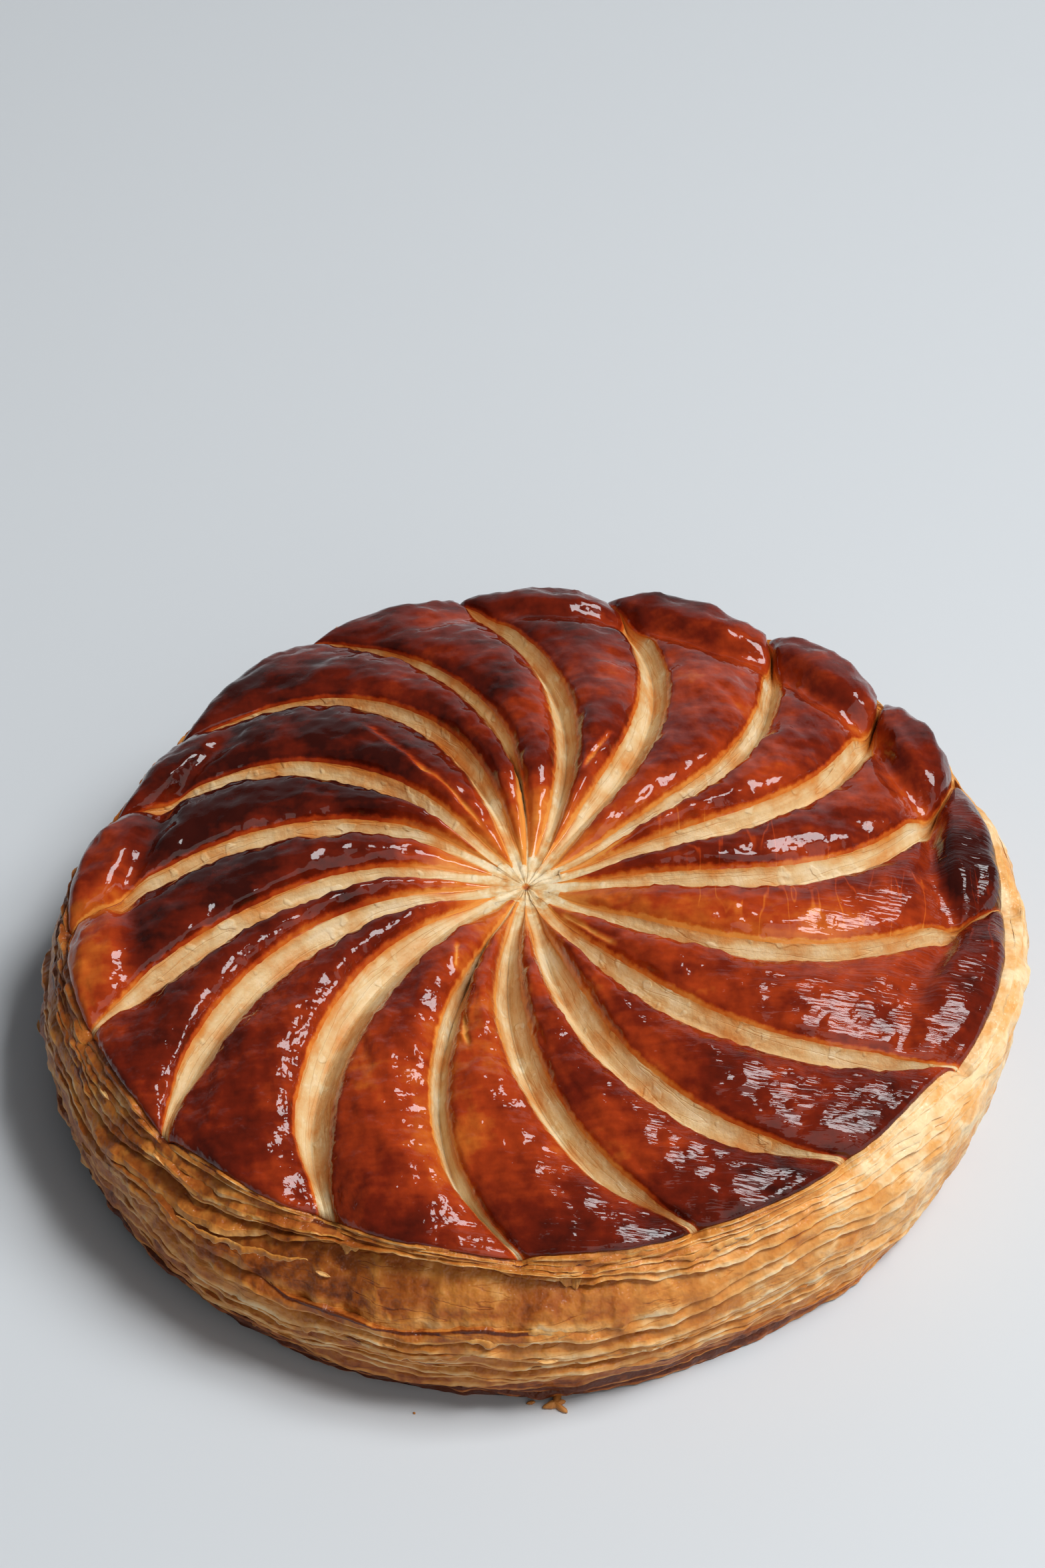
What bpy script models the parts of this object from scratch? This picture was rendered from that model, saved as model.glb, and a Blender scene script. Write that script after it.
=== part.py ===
"""Galette des rois: an uncut puff-pastry cake with curved cuts in its domed lid.

The whole cake is one closed solid. Its lid is a wheel of seventeen puffed blades, parted by
cuts that swing from the hub to the rim. Its side is a stack of wavy pastry layers. The cake
stands on its flat bottom, and the origin is at the middle of that bottom.
"""
from collections import namedtuple

import bpy
import numpy as np

MM = 0.001

# Main sizes
RIM_RADIUS = 115 * MM
RIM_HEIGHT = 46 * MM
RIM_FLAT_DEPTH = 7 * MM
RIM_FLAT_BEARING = 153
RIM_FLAT_SPAN = 23
FOOT_RADIUS = 116 * MM
FOOT_SHIFT = (-3.5 * MM, -3 * MM)
SIDE_BULGE = 6 * MM
BULGE_EXTRA = 4.5 * MM
BULGE_BEARING = 0
BULGE_SPAN = 29
BULGE_RISE = 0.6

# The lid: a dome with a dimple where all the cuts meet
DOME_HEIGHT = 14 * MM
DOME_POWER = 3.2
DIMPLE_DEPTH = 9 * MM
DIMPLE_RADIUS = 0.22
HUB_SHIFT = (-2.5 * MM, -0.4 * MM)
HUB_RING = 0.05
VENT_DEPTH = 1.5 * MM
BLADE_CROWN = 3.2 * MM
EDGE_DROP = 0.9 * MM
SHOULDER = 2.4 * MM
CUT_DEPTH = 6.5 * MM
WIDEST_HALF_GAP = 0.3
LID_RINGS = (0.1, 0.17, 0.26, 0.37, 0.48, 0.59, 0.7, 0.79, 0.85, 0.89, 0.93, 0.97, 1.0)
BLADE_STATIONS = (0.2, 0.4, 0.6, 0.8)

# The ring valley that parts the blades from the rim lobes
VALLEY_RING = 0.9
VALLEY_BOW = 0.035
VALLEY_WIDTH = 0.035
LOBE_RING = 0.965
LOBE_WIDTH = 0.04

# The side: each layer swells to a lip, then folds in under it
SIDE_LAYERS = 7
LIP_SHARE = 0.64
FOLD_DEPTH = 1.6 * MM
LAYER_WAVE = 1.5 * MM
SETTLE_SHARE = 0.3
LID_OVERHANG = 3 * MM
OVERHANG_BEARING = -105
OVERHANG_SPAN = 32
WAVE_COUNTS = (2, 3, 5, 8, 13)
SEED = 17

# Each cut: where it meets the rim, how far it swings on its way from the hub and how late it
# bends (degrees and a power), its widest opening, the share of that left at the rim, and the
# depth of the ring valley there. Bulge is how far the rim stands out beyond that cut.
Cut = namedtuple("Cut", "bearing swing bend width tail valley bulge")
CUTS = (
    Cut(-71, 30, 1.85, 8.0 * MM, 0.25, 0.0 * MM, -1.4 * MM),
    Cut(-49, 32.5, 2.05, 9.0 * MM, 0.25, 0.0 * MM, -0.6 * MM),
    Cut(-28.5, 39, 1.4, 8.5 * MM, 0.25, 0.4 * MM, 2.5 * MM),
    Cut(-0.5, 39, 1.75, 7.5 * MM, 0.3, 3.0 * MM, 2.5 * MM),
    Cut(22, 29, 2.9, 8.5 * MM, 0.3, 4.0 * MM, 3.5 * MM),
    Cut(39, 25.5, 2.6, 8.0 * MM, 0.5, 3.6 * MM, 4.0 * MM),
    Cut(58, 30.5, 2.0, 6.0 * MM, 0.5, 3.4 * MM, 3.0 * MM),
    Cut(81, 28.5, 2.1, 8.5 * MM, 0.5, 3.0 * MM, 1.5 * MM),
    Cut(101.5, 34, 1.35, 6.5 * MM, 0.3, 1.2 * MM, -1.0 * MM),
    Cut(123, 36, 1.4, 4.5 * MM, 0.4, 0.3 * MM, 1.0 * MM),
    Cut(149.5, 42.5, 2.1, 7.0 * MM, 0.3, 1.0 * MM, 1.5 * MM),
    Cut(167, 31.5, 1.85, 8.5 * MM, 0.5, 3.0 * MM, 4.0 * MM),
    Cut(185, 44, 0.8, 8.0 * MM, 0.2, 2.6 * MM, 3.0 * MM),
    Cut(202, 36, 0.6, 8.5 * MM, 0.25, 0.8 * MM, 2.0 * MM),
    Cut(221, 20.5, 2.2, 9.0 * MM, 0.3, 0.0 * MM, 0.5 * MM),
    Cut(245, 23, 2.15, 11.0 * MM, 0.45, 0.0 * MM, -1.0 * MM),
    Cut(268.5, 20, 3.2, 4.5 * MM, 0.3, 0.0 * MM, -1.4 * MM),
)

PASTRY_COLOUR = (0.42, 0.16, 0.04, 1.0)
PASTRY_ROUGHNESS = 0.35


def smooth_step(value, low, high):
    """A soft step from 0 at low to 1 at high."""
    share = np.clip((value - low) / (high - low), 0.0, 1.0)
    return share * share * (3 - 2 * share)


def bump(value, middle, width):
    """A soft bump, 1 high at its middle."""
    return np.exp(-((value - middle) / width) ** 2)


def turned(bearing, middle):
    """How far a bearing in radians lies from a middle one in degrees, in degrees."""
    return (np.degrees(bearing) - middle + 180) % 360 - 180


def rim_flat(bearing):
    """How far the cake falls short of its circle where one side of it is flattened."""
    return RIM_FLAT_DEPTH * bump(turned(bearing, RIM_FLAT_BEARING), 0, RIM_FLAT_SPAN)


def dome(ring):
    """The lid's height over the rim at a ring, where 0 is the hub and 1 the rim."""
    crest = DOME_HEIGHT * (1 - ring ** DOME_POWER)
    return crest - DIMPLE_DEPTH * bump(ring, 0.0, DIMPLE_RADIUS)


def cut_bearing(cut, ring):
    """The bearing of a cut's middle line at a ring, in radians."""
    return np.radians(cut.bearing - cut.swing * (1 - ring ** cut.bend))


def cut_width(cut, ring):
    """How far a cut gapes at a ring: narrow at the hub, widest in the outer half."""
    opening = 0.3 + 0.7 * smooth_step(ring, 0.1, 0.6)
    closing = 1 - (1 - cut.tail) * smooth_step(ring, 0.84, 1.0)
    return cut.width * opening * closing


def cut_depth(cut, ring):
    """How deep a cut is at a ring. A narrow cut is shallower too."""
    opening = 0.3 + 0.7 * smooth_step(ring, 0.06, 0.45)
    closing = 1 - 0.55 * smooth_step(ring, 0.86, 1.0)
    gape = smooth_step(cut.width, 0.0, 7 * MM)
    return CUT_DEPTH * opening * closing * (0.4 + 0.6 * gape)


def blade_section(cut, next_cut, ring):
    """One blade's points across at a ring, from the bottom of its cut: bearing, share, height.

    The share runs from 0 at the blade's first edge to 1 at its second, and the height is
    measured from the dome. The first point is the bottom of the cut.
    """
    start = cut_bearing(cut, ring)
    end = cut_bearing(next_cut, ring)
    span = (end - start) % (2 * np.pi)
    radius = RIM_RADIUS * ring
    first = min(cut_width(cut, ring) / 2 / radius, WIDEST_HALF_GAP * span)
    last = min(cut_width(next_cut, ring) / 2 / radius, WIDEST_HALF_GAP * span)
    blade_span = span - first - last
    shoulder = min(SHOULDER / radius, 0.14 * blade_span) / blade_span
    shares = np.array((0.0, shoulder, *BLADE_STATIONS, 1 - shoulder, 1.0))
    crown = BLADE_CROWN * smooth_step(ring, 0.03, 0.35) * (1 - np.abs(2 * shares - 1) ** 2.4)
    edge = np.array((-EDGE_DROP, 0.0, *(0.0 for _ in BLADE_STATIONS), 0.0, -EDGE_DROP))
    bearings = np.concatenate(((start,), start + first + shares * blade_span))
    heights = np.concatenate(((-cut_depth(cut, ring),), crown + edge))
    return bearings, np.concatenate(((0.0,), shares)), heights


def rim_relief(cut, next_cut, ring, shares):
    """The ring valley and the rim lobe outside it, as a height, and the rim's bulge."""
    bow = 4 * shares * (1 - shares)
    valley = cut.valley + (next_cut.valley - cut.valley) * shares
    valley_ring = VALLEY_RING - VALLEY_BOW * bow
    height = -valley * bump(ring, valley_ring, VALLEY_WIDTH)
    height += 0.8 * valley * bow ** 0.5 * bump(ring, LOBE_RING, LOBE_WIDTH)
    height -= 0.5 * cut.bulge * (1 - bow ** 0.5) * smooth_step(ring, 0.92, 1.0)
    bulge = cut.bulge * bow ** 0.6 * smooth_step(ring, 0.8, 1.0)
    return height, bulge


def lid_ring(ring):
    """All the points of the lid at one ring, going round the cake."""
    points = []
    for index, cut in enumerate(CUTS):
        next_cut = CUTS[(index + 1) % len(CUTS)]
        bearings, shares, heights = blade_section(cut, next_cut, ring)
        relief, bulge = rim_relief(cut, next_cut, ring, shares)
        reach = RIM_RADIUS * ring + bulge - rim_flat(bearings) * smooth_step(ring, 0.6, 1.0)
        x = HUB_SHIFT[0] * (1 - ring ** 2) + reach * np.cos(bearings)
        y = HUB_SHIFT[1] * (1 - ring ** 2) + reach * np.sin(bearings)
        z = RIM_HEIGHT + dome(ring) + heights + relief
        points.append(np.stack((x, y, z), axis=1))
    return np.concatenate(points)


def hub_points(columns):
    """The low ring round the hub, and the pin-hole vent in its middle."""
    turn = cut_bearing(CUTS[0], HUB_RING) + np.arange(columns) * 2 * np.pi / columns
    floor = RIM_HEIGHT + dome(HUB_RING) - 0.35 * CUT_DEPTH
    x = HUB_SHIFT[0] + RIM_RADIUS * HUB_RING * np.cos(turn)
    y = HUB_SHIFT[1] + RIM_RADIUS * HUB_RING * np.sin(turn)
    ring = np.stack((x, y, np.full(columns, floor)), axis=1)
    return ring, np.array((*HUB_SHIFT, floor - VENT_DEPTH))


def waves(bearing, draw):
    """A wave round the cake that closes on itself, about 1 high at most."""
    total = np.zeros_like(bearing)
    for count in WAVE_COUNTS:
        total += np.sin(count * bearing + draw.uniform(0, 2 * np.pi)) / count ** 0.5
    return total / 2


def side_rings(edge):
    """The rings of the side, two for each layer: its lip, and the fold under the lip."""
    draw = np.random.RandomState(SEED)
    bearing = np.arctan2(edge[:, 1], edge[:, 0])
    edge_reach = np.hypot(edge[:, 0], edge[:, 1])
    body_reach = FOOT_RADIUS + FOOT_SHIFT[0] * np.cos(bearing) + FOOT_SHIFT[1] * np.sin(bearing)
    body_reach = body_reach - rim_flat(bearing)
    bulge = SIDE_BULGE + BULGE_EXTRA * bump(turned(bearing, BULGE_BEARING), 0, BULGE_SPAN)
    overhang = LID_OVERHANG * bump(turned(bearing, OVERHANG_BEARING), 0, OVERHANG_SPAN)
    rings = []
    for layer in range(SIDE_LAYERS):
        sag = LAYER_WAVE * waves(bearing, draw)
        for place, way in ((LIP_SHARE, 1), (1, -1)):
            share = (layer + place) / SIDE_LAYERS
            settle = smooth_step(share, 0.0, SETTLE_SHARE)
            fade = np.sin(np.pi * share)
            fold = way * FOLD_DEPTH * (0.8 + 0.4 * waves(bearing, draw))
            reach = edge_reach + (body_reach - edge_reach) * settle
            reach = reach + bulge * np.sin(np.pi * share ** BULGE_RISE) ** 0.8
            reach = reach + fold * fade ** 0.3 - overhang * bump(share, 0.3, 0.07)
            top = edge[:, 2] + (RIM_HEIGHT - edge[:, 2]) * settle
            z = top * (1 - share) + sag * fade
            points = (reach * np.cos(bearing), reach * np.sin(bearing), z)
            rings.append(np.stack(points, axis=1))
    return rings


def skin(rings, top, bottom):
    """Vertices and faces of a closed skin over rings stacked from the hub to the foot."""
    columns = len(rings[0])
    vertices = np.concatenate([*rings, top[None], bottom[None]])
    top_index = len(vertices) - 2
    bottom_index = len(vertices) - 1
    faces = []
    for column in range(columns):
        beside = (column + 1) % columns
        faces.append((top_index, column, beside))
        for ring in range(len(rings) - 1):
            inner = ring * columns
            outer = inner + columns
            faces.append((inner + column, outer + column, inner + beside))
            faces.append((inner + beside, outer + column, outer + beside))
        last = (len(rings) - 1) * columns
        faces.append((bottom_index, last + beside, last + column))
    return vertices, faces


def pastry_material():
    """Egg-glazed, baked pastry in one plain colour."""
    material = bpy.data.materials.new("baked_pastry")
    material.use_nodes = True
    shader = material.node_tree.nodes["Principled BSDF"]
    shader.inputs["Base Color"].default_value = PASTRY_COLOUR
    shader.inputs["Roughness"].default_value = PASTRY_ROUGHNESS
    shader.inputs["Metallic"].default_value = 0.0
    return material


def build_galette():
    """The cake: the hub, the lid's rings, the side's rings and the flat bottom."""
    lid = [lid_ring(ring) for ring in LID_RINGS]
    hub, vent = hub_points(len(lid[0]))
    side = side_rings(lid[-1])
    rings = [hub, *lid, *side]
    foot = rings[-1]
    middle = (foot.min(axis=0) + foot.max(axis=0)) / 2
    vertices, faces = skin(rings, vent, np.array((middle[0], middle[1], 0.0)))
    box_middle = (vertices.min(axis=0) + vertices.max(axis=0)) / 2
    vertices = vertices - np.array((box_middle[0], box_middle[1], 0.0))
    mesh = bpy.data.meshes.new("galette")
    mesh.from_pydata(vertices.tolist(), [], faces)
    mesh.shade_smooth()
    mesh.set_sharp_from_angle(angle=np.radians(40))
    mesh.materials.append(pastry_material())
    galette = bpy.data.objects.new("galette", mesh)
    bpy.context.scene.collection.objects.link(galette)
    return galette


for old in list(bpy.data.objects):
    bpy.data.objects.remove(old, do_unlink=True)
build_galette()
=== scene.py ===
# %% [markdown]
# # A galette des rois
# A galette is a puff-pastry cake. The baker brushes the lid with egg, scores it with a knife in
# curved lines from the middle to the rim, and bakes it. The lid splits along the scores and puffs
# into glossy brown blades with pale, layered walls between them, and the side opens into leaves.
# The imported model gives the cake's size and its outer form. This script keeps that form and
# makes the looks: the glaze, the crumb in the cuts, the leaves of the side and the crumbs.

# %% Load the frame
import math
from collections import namedtuple

import bpy
import numpy as np
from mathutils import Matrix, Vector


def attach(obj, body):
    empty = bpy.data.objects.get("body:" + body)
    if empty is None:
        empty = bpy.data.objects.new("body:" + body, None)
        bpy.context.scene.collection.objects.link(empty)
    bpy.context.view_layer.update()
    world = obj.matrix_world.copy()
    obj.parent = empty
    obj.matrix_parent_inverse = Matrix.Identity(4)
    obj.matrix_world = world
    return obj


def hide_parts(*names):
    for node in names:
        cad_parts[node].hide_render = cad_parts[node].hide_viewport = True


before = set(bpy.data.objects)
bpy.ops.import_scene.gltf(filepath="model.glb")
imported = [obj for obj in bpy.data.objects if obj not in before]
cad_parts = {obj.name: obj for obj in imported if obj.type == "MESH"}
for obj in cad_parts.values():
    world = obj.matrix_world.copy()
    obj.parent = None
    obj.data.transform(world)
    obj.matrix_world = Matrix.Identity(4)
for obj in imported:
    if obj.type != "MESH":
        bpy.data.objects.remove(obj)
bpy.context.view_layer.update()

MM = 0.001

# %% [markdown]
# ## The camera
# The photo looks down on the cake at 44 degrees through a long lens, so the ring of the rim shows
# as an ellipse with hardly any perspective. The camera is placed from the middle of the rim: back
# along its own line of sight, then a little aside and up, so that the cake sits low in the frame.

# %% Place the camera
RIM_HEIGHT = 46 * MM
WHEEL_MIDDLE = Vector((0.6 * MM, 2.6 * MM, RIM_HEIGHT))
CAMERA_ELEVATION = math.radians(44.17)
CAMERA_DISTANCE = 874.5 * MM
CAMERA_ASIDE = -3.4 * MM
CAMERA_UP = 29 * MM
CAMERA_NEAREST = 10 * MM
LENS_LENGTH = 79.6


def add_object(name, data):
    """A new object in the scene that holds the given data."""
    made = bpy.data.objects.new(name, data)
    bpy.context.scene.collection.objects.link(made)
    return made


def add_camera():
    """A camera that looks along +Y and down, with its sight line shifted from the rim's middle."""
    slope = CAMERA_ELEVATION
    ahead = Vector((0, math.cos(slope), -math.sin(slope)))
    upward = Vector((0, math.sin(slope), math.cos(slope)))
    aside = Vector((CAMERA_ASIDE, 0, 0))
    camera = add_object("camera", bpy.data.cameras.new("camera"))
    camera.location = WHEEL_MIDDLE + aside + upward * CAMERA_UP - ahead * CAMERA_DISTANCE
    camera.rotation_euler = (math.pi / 2 - slope, 0, 0)
    camera.data.lens = LENS_LENGTH
    camera.data.clip_start = CAMERA_NEAREST
    bpy.context.scene.camera = camera
    return camera


print("the camera stands at", [round(v, 3) for v in add_camera().location])

# %% [markdown]
# ## Floor and light
# Glaze is a mirror for its lights, so their size and place matter more than their strength. One
# large window to the right and above draws the long highlights on the blades. A lamp above it,
# which the glaze doesn't mirror, keeps the shadow on the left short and dark near the foot. A
# weak, wide fill from the front and a dim world soften the rest. The floor is one plain pale sheet
# that curves up far behind the cake, so that no horizon line shows.

# %% Add the floor
FLOOR_REACH = 3.0
SWEEP_START = 1.3
SWEEP_RADIUS = 0.7
SWEEP_STEPS = 16
FLOOR_COLOUR = (0.60, 0.62, 0.64, 1)
FLOOR_ROUGHNESS = 0.5


def new_material(name, roughness, **settings):
    """A material with a Principled shader. Settings are inputs with _ for a space."""
    material = bpy.data.materials.new(name)
    material.use_nodes = True
    shader = material.node_tree.nodes["Principled BSDF"]
    for label, value in {"Roughness": roughness, **settings}.items():
        shader.inputs[label.replace("_", " ")].default_value = value
    return material, material.node_tree, shader


def sweep_profile():
    """The floor's side view: flat, then a quarter turn up, then a wall."""
    points = [(-FLOOR_REACH, 0.0), (SWEEP_START, 0.0)]
    for step in range(1, SWEEP_STEPS + 1):
        turn = math.pi / 2 * step / SWEEP_STEPS
        y = SWEEP_START + SWEEP_RADIUS * math.sin(turn)
        points.append((y, SWEEP_RADIUS * (1 - math.cos(turn))))
    return [*points, (SWEEP_START + SWEEP_RADIUS, FLOOR_REACH)]


def add_floor():
    """The pale sheet under and behind the cake."""
    mesh = bpy.data.meshes.new("floor")
    profile = sweep_profile()
    sides = [(x, y, z) for x in (-FLOOR_REACH, FLOOR_REACH) for y, z in profile]
    count = len(profile)
    mesh.from_pydata(sides, [], [(i, i + count, i + count + 1, i + 1) for i in range(count - 1)])
    mesh.shade_smooth()
    mesh.materials.append(new_material("pale_floor", FLOOR_ROUGHNESS, Base_Color=FLOOR_COLOUR)[0])
    add_object("floor", mesh)


add_floor()
print("the floor is", 2 * FLOOR_REACH, "m wide")

# %% Add the lights
WORLD_COLOUR = (0.86, 0.93, 1.0, 1)
WORLD_STRENGTH = 0.08

Light = namedtuple("Light", "name towards distance size power colour mirrored")
LIGHTS = (
    Light("window", (0.534, 0.005, 0.843), 2.2, (0.92, 1.08), 40, (0.95, 0.98, 1.0), True),
    Light("lamp", (0.40, -0.16, 0.9), 2.2, (0.5, 0.5), 17, (1, 1, 1), False),
    Light("fill", (0.45, -0.75, 0.5), 1.6, (1.5, 1.5), 7, (1, 0.97, 0.93), True),
)


def add_light(light):
    """A soft rectangular light that shines on the cake from its direction."""
    data = bpy.data.lights.new(light.name, "AREA")
    data.shape = "RECTANGLE"
    data.size, data.size_y = light.size
    data.energy = light.power
    data.color = light.colour
    towards = Vector(light.towards)
    made = add_object(light.name, data)
    made.location = WHEEL_MIDDLE + towards.normalized() * light.distance
    made.rotation_mode = "QUATERNION"
    made.rotation_quaternion = towards.to_track_quat("Z", "Y")
    made.visible_glossy = light.mirrored


for light in LIGHTS:
    add_light(light)
world = bpy.data.worlds.new("room")
world.use_nodes = True
world.node_tree.nodes["Background"].inputs["Color"].default_value = WORLD_COLOUR
world.node_tree.nodes["Background"].inputs["Strength"].default_value = WORLD_STRENGTH
bpy.context.scene.world = world
bpy.context.scene.view_settings.view_transform = "Standard"
print("lights:", ", ".join(light.name for light in LIGHTS), "and a dim world")

# %% [markdown]
# ## Formulas in node trees
# Blender can do sums on every point of a mesh with Math nodes, in Geometry Nodes and in materials
# alike. Long formulas are hard to wire by hand, so a small class lets a socket stand in a Python
# formula like a number: each plus, times or power adds one Math node and its links.

# %% A socket that can be used in a formula
class Field:
    """A socket of a node tree, or rather its value all over the mesh."""

    def __init__(self, tree, socket):
        self.tree = tree
        self.socket = socket

    def __add__(self, other):
        return maths("ADD", self, other)

    def __sub__(self, other):
        return maths("SUBTRACT", self, other)

    def __rsub__(self, other):
        return maths("SUBTRACT", other, self)

    def __mul__(self, other):
        return maths("MULTIPLY", self, other)

    def __truediv__(self, other):
        return maths("DIVIDE", self, other)

    def __pow__(self, other):
        return maths("POWER", self, other)

    def __abs__(self):
        return maths("ABSOLUTE", self)

    __radd__ = __add__
    __rmul__ = __mul__


def feed(value, socket):
    """Gives an input socket its value, which is a Field or a plain value."""
    if isinstance(value, Field):
        value.tree.links.new(value.socket, socket)
    else:
        socket.default_value = value


def add_node(tree, kind, **values):
    """A new node with some of its inputs fed, each named by its label with _ for a space."""
    node = tree.nodes.new(kind)
    for name, value in values.items():
        feed(value, node.inputs[name.replace("_", " ")])
    return node


def result(tree, kind, output=0, **values):
    """What comes out of such a node, by its first output unless another is named."""
    return Field(tree, add_node(tree, kind, **values).outputs[output])


def tree_of(*values):
    """The tree that the fields among the values belong to."""
    return next(value.tree for value in values if isinstance(value, Field))


def maths(operation, *values):
    """The result of one Math node."""
    node = tree_of(*values).nodes.new("ShaderNodeMath")
    node.operation = operation
    for value, socket in zip(values, node.inputs):
        feed(value, socket)
    return Field(tree_of(*values), node.outputs[0])


print("a socket can now stand in a formula")


# %% Steps, hills and noise
def soft_step(value, low, high):
    """0 below low, 1 above high, and a smooth climb between them."""
    node = add_node(value.tree, "ShaderNodeMapRange", Value=value, From_Min=low, From_Max=high)
    node.interpolation_type = "SMOOTHSTEP"
    return Field(value.tree, node.outputs["Result"])


def soft_bump(value, middle, width):
    """A smooth hill that is 1 high at middle."""
    offset = (value - middle) / width
    return maths("EXPONENT", offset * offset * -1)


def join_xyz(x, y, z):
    """A vector from three fields or numbers."""
    return result(tree_of(x, y, z), "ShaderNodeCombineXYZ", X=x, Y=y, Z=z)


def split_xyz(vector):
    """The three parts of a vector."""
    node = add_node(vector.tree, "ShaderNodeSeparateXYZ", Vector=vector)
    return [Field(vector.tree, socket) for socket in node.outputs]


def grain(vector, scale, detail=2.0, roughness=0.5):
    """Noise from -1 to 1, about evenly round 0, with the given number of waves in a metre."""
    look = {"Scale": scale, "Detail": detail, "Roughness": roughness}
    return result(vector.tree, "ShaderNodeTexNoise", Vector=vector, **look) * 2 - 1


def streaks(x, y, z, detail):
    """The same noise in a space of its own, where x, y and z are stretched as the caller likes."""
    return grain(join_xyz(x, y, z), 1.0, detail)


print("formulas can have soft steps, bumps and noise")

# %% [markdown]
# ## Trees and what they make
# Every Geometry Nodes tree here has a way in and out for the mesh and a named input for each
# size. A modifier is given its sizes by the inputs' identifiers, Blender works the mesh out once,
# and the result is kept as a plain mesh, so that nothing live is left on the finished piece.

# %% Helpers for Geometry Nodes
def new_tree(name, sizes):
    """A tree with a named input for each size. Returns the tree, its mesh and its sizes."""
    tree = bpy.data.node_groups.new(name, "GeometryNodeTree")
    for way in ("INPUT", "OUTPUT"):
        tree.interface.new_socket("Mesh", in_out=way, socket_type="NodeSocketGeometry")
    for size, value in sizes.items():
        kind = "NodeSocketInt" if isinstance(value, int) else "NodeSocketFloat"
        tree.interface.new_socket(size, in_out="INPUT", socket_type=kind)
    entry = tree.nodes.new("NodeGroupInput")
    fields = {size: Field(tree, entry.outputs[size]) for size in sizes}
    return tree, Field(tree, entry.outputs["Mesh"]), fields


def on_mesh(tree, *names):
    """The named values that every point of the mesh carries."""
    return [result(tree, "GeometryNodeInputNamedAttribute", Name=name) for name in names]


def moved(mesh, offset, where=True):
    """The mesh with its points moved by an offset."""
    move = {"Selection": where, "Offset": offset}
    return result(mesh.tree, "GeometryNodeSetPosition", Geometry=mesh, **move)


def finish_tree(mesh, materials):
    """Ends a tree with real instances, and each material set where its field is above 0."""
    tree = mesh.tree
    made = result(tree, "GeometryNodeRealizeInstances", Geometry=mesh)
    for material, where in materials:
        finish = {"Selection": where, "Material": material}
        made = result(tree, "GeometryNodeSetMaterial", Geometry=made, **finish)
    add_node(tree, "NodeGroupOutput", Mesh=made)
    for index, node in enumerate(tree.nodes):
        node.location = (index // 8 * 220, index % 8 * -180)
    return tree


print("a tree can now be started and finished")


# %% Helpers for meshes
def run_tree(source, tree, sizes, name):
    """Runs a tree on an object with the given sizes, and keeps the result as a new object."""
    modifier = source.modifiers.new(tree.name, "NODES")
    modifier.node_group = tree
    for item in tree.interface.items_tree:
        if item.name in sizes:
            modifier[item.identifier] = sizes[item.name]
    graph = bpy.context.evaluated_depsgraph_get()
    mesh = bpy.data.meshes.new_from_object(source.evaluated_get(graph), depsgraph=graph)
    source.modifiers.remove(modifier)
    bpy.data.objects.remove(source, do_unlink=True)
    mesh.name = name
    print(f"{name}: {sum(len(face.vertices) - 2 for face in mesh.polygons)} triangles")
    return add_object(name, mesh)


def grid_object(name, points, faces, attributes):
    """A mesh object from arrays, with a float attribute for each named array."""
    mesh = bpy.data.meshes.new(name)
    mesh.from_pydata(points.tolist(), [], faces)
    mesh.shade_smooth()
    for label, values in attributes.items():
        layer = mesh.attributes.new(label, "FLOAT", "POINT")
        layer.data.foreach_set("value", np.asarray(values, np.float32).ravel())
    return add_object(name, mesh)


def points_of(piece):
    """Where the points of a piece are, one in each row."""
    places = np.zeros(len(piece.data.vertices) * 3)
    piece.data.vertices.foreach_get("co", places)
    return places.reshape(-1, 3)


def closed_skin(rings, columns):
    """The faces over rings stored one after another, and a fan from each end to a point of its own."""
    count = rings * columns
    sides = [(here, (here + 1) % columns) for here in range(columns)]
    faces = []
    for inner in range(0, count - columns, columns):
        outer = inner + columns
        faces += [(inner + a, outer + a, outer + b, inner + b) for a, b in sides]
    for a, b in sides:
        faces += [(count, a, b), (count + 1, count - columns + b, count - columns + a)]
    return faces


print("a tree can now be run and a skin closed")

# %% [markdown]
# ## The cuts
# Each of the seventeen cuts is a curve from the hub to the rim. It starts close to the line of
# the hub, swings round, and straightens out, so its bearing is the rim bearing less a swing that
# fades with the distance from the hub. No two cuts are alike, so each has a row of its own in a
# short table, which also says how far the next blade's end bulges past the rim's circle and how
# far the rim stands in or out at the cut. The narrow ones open late, and where the rim puffed up
# into lobes, a cut closes to a crease as it passes between two of them.

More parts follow.
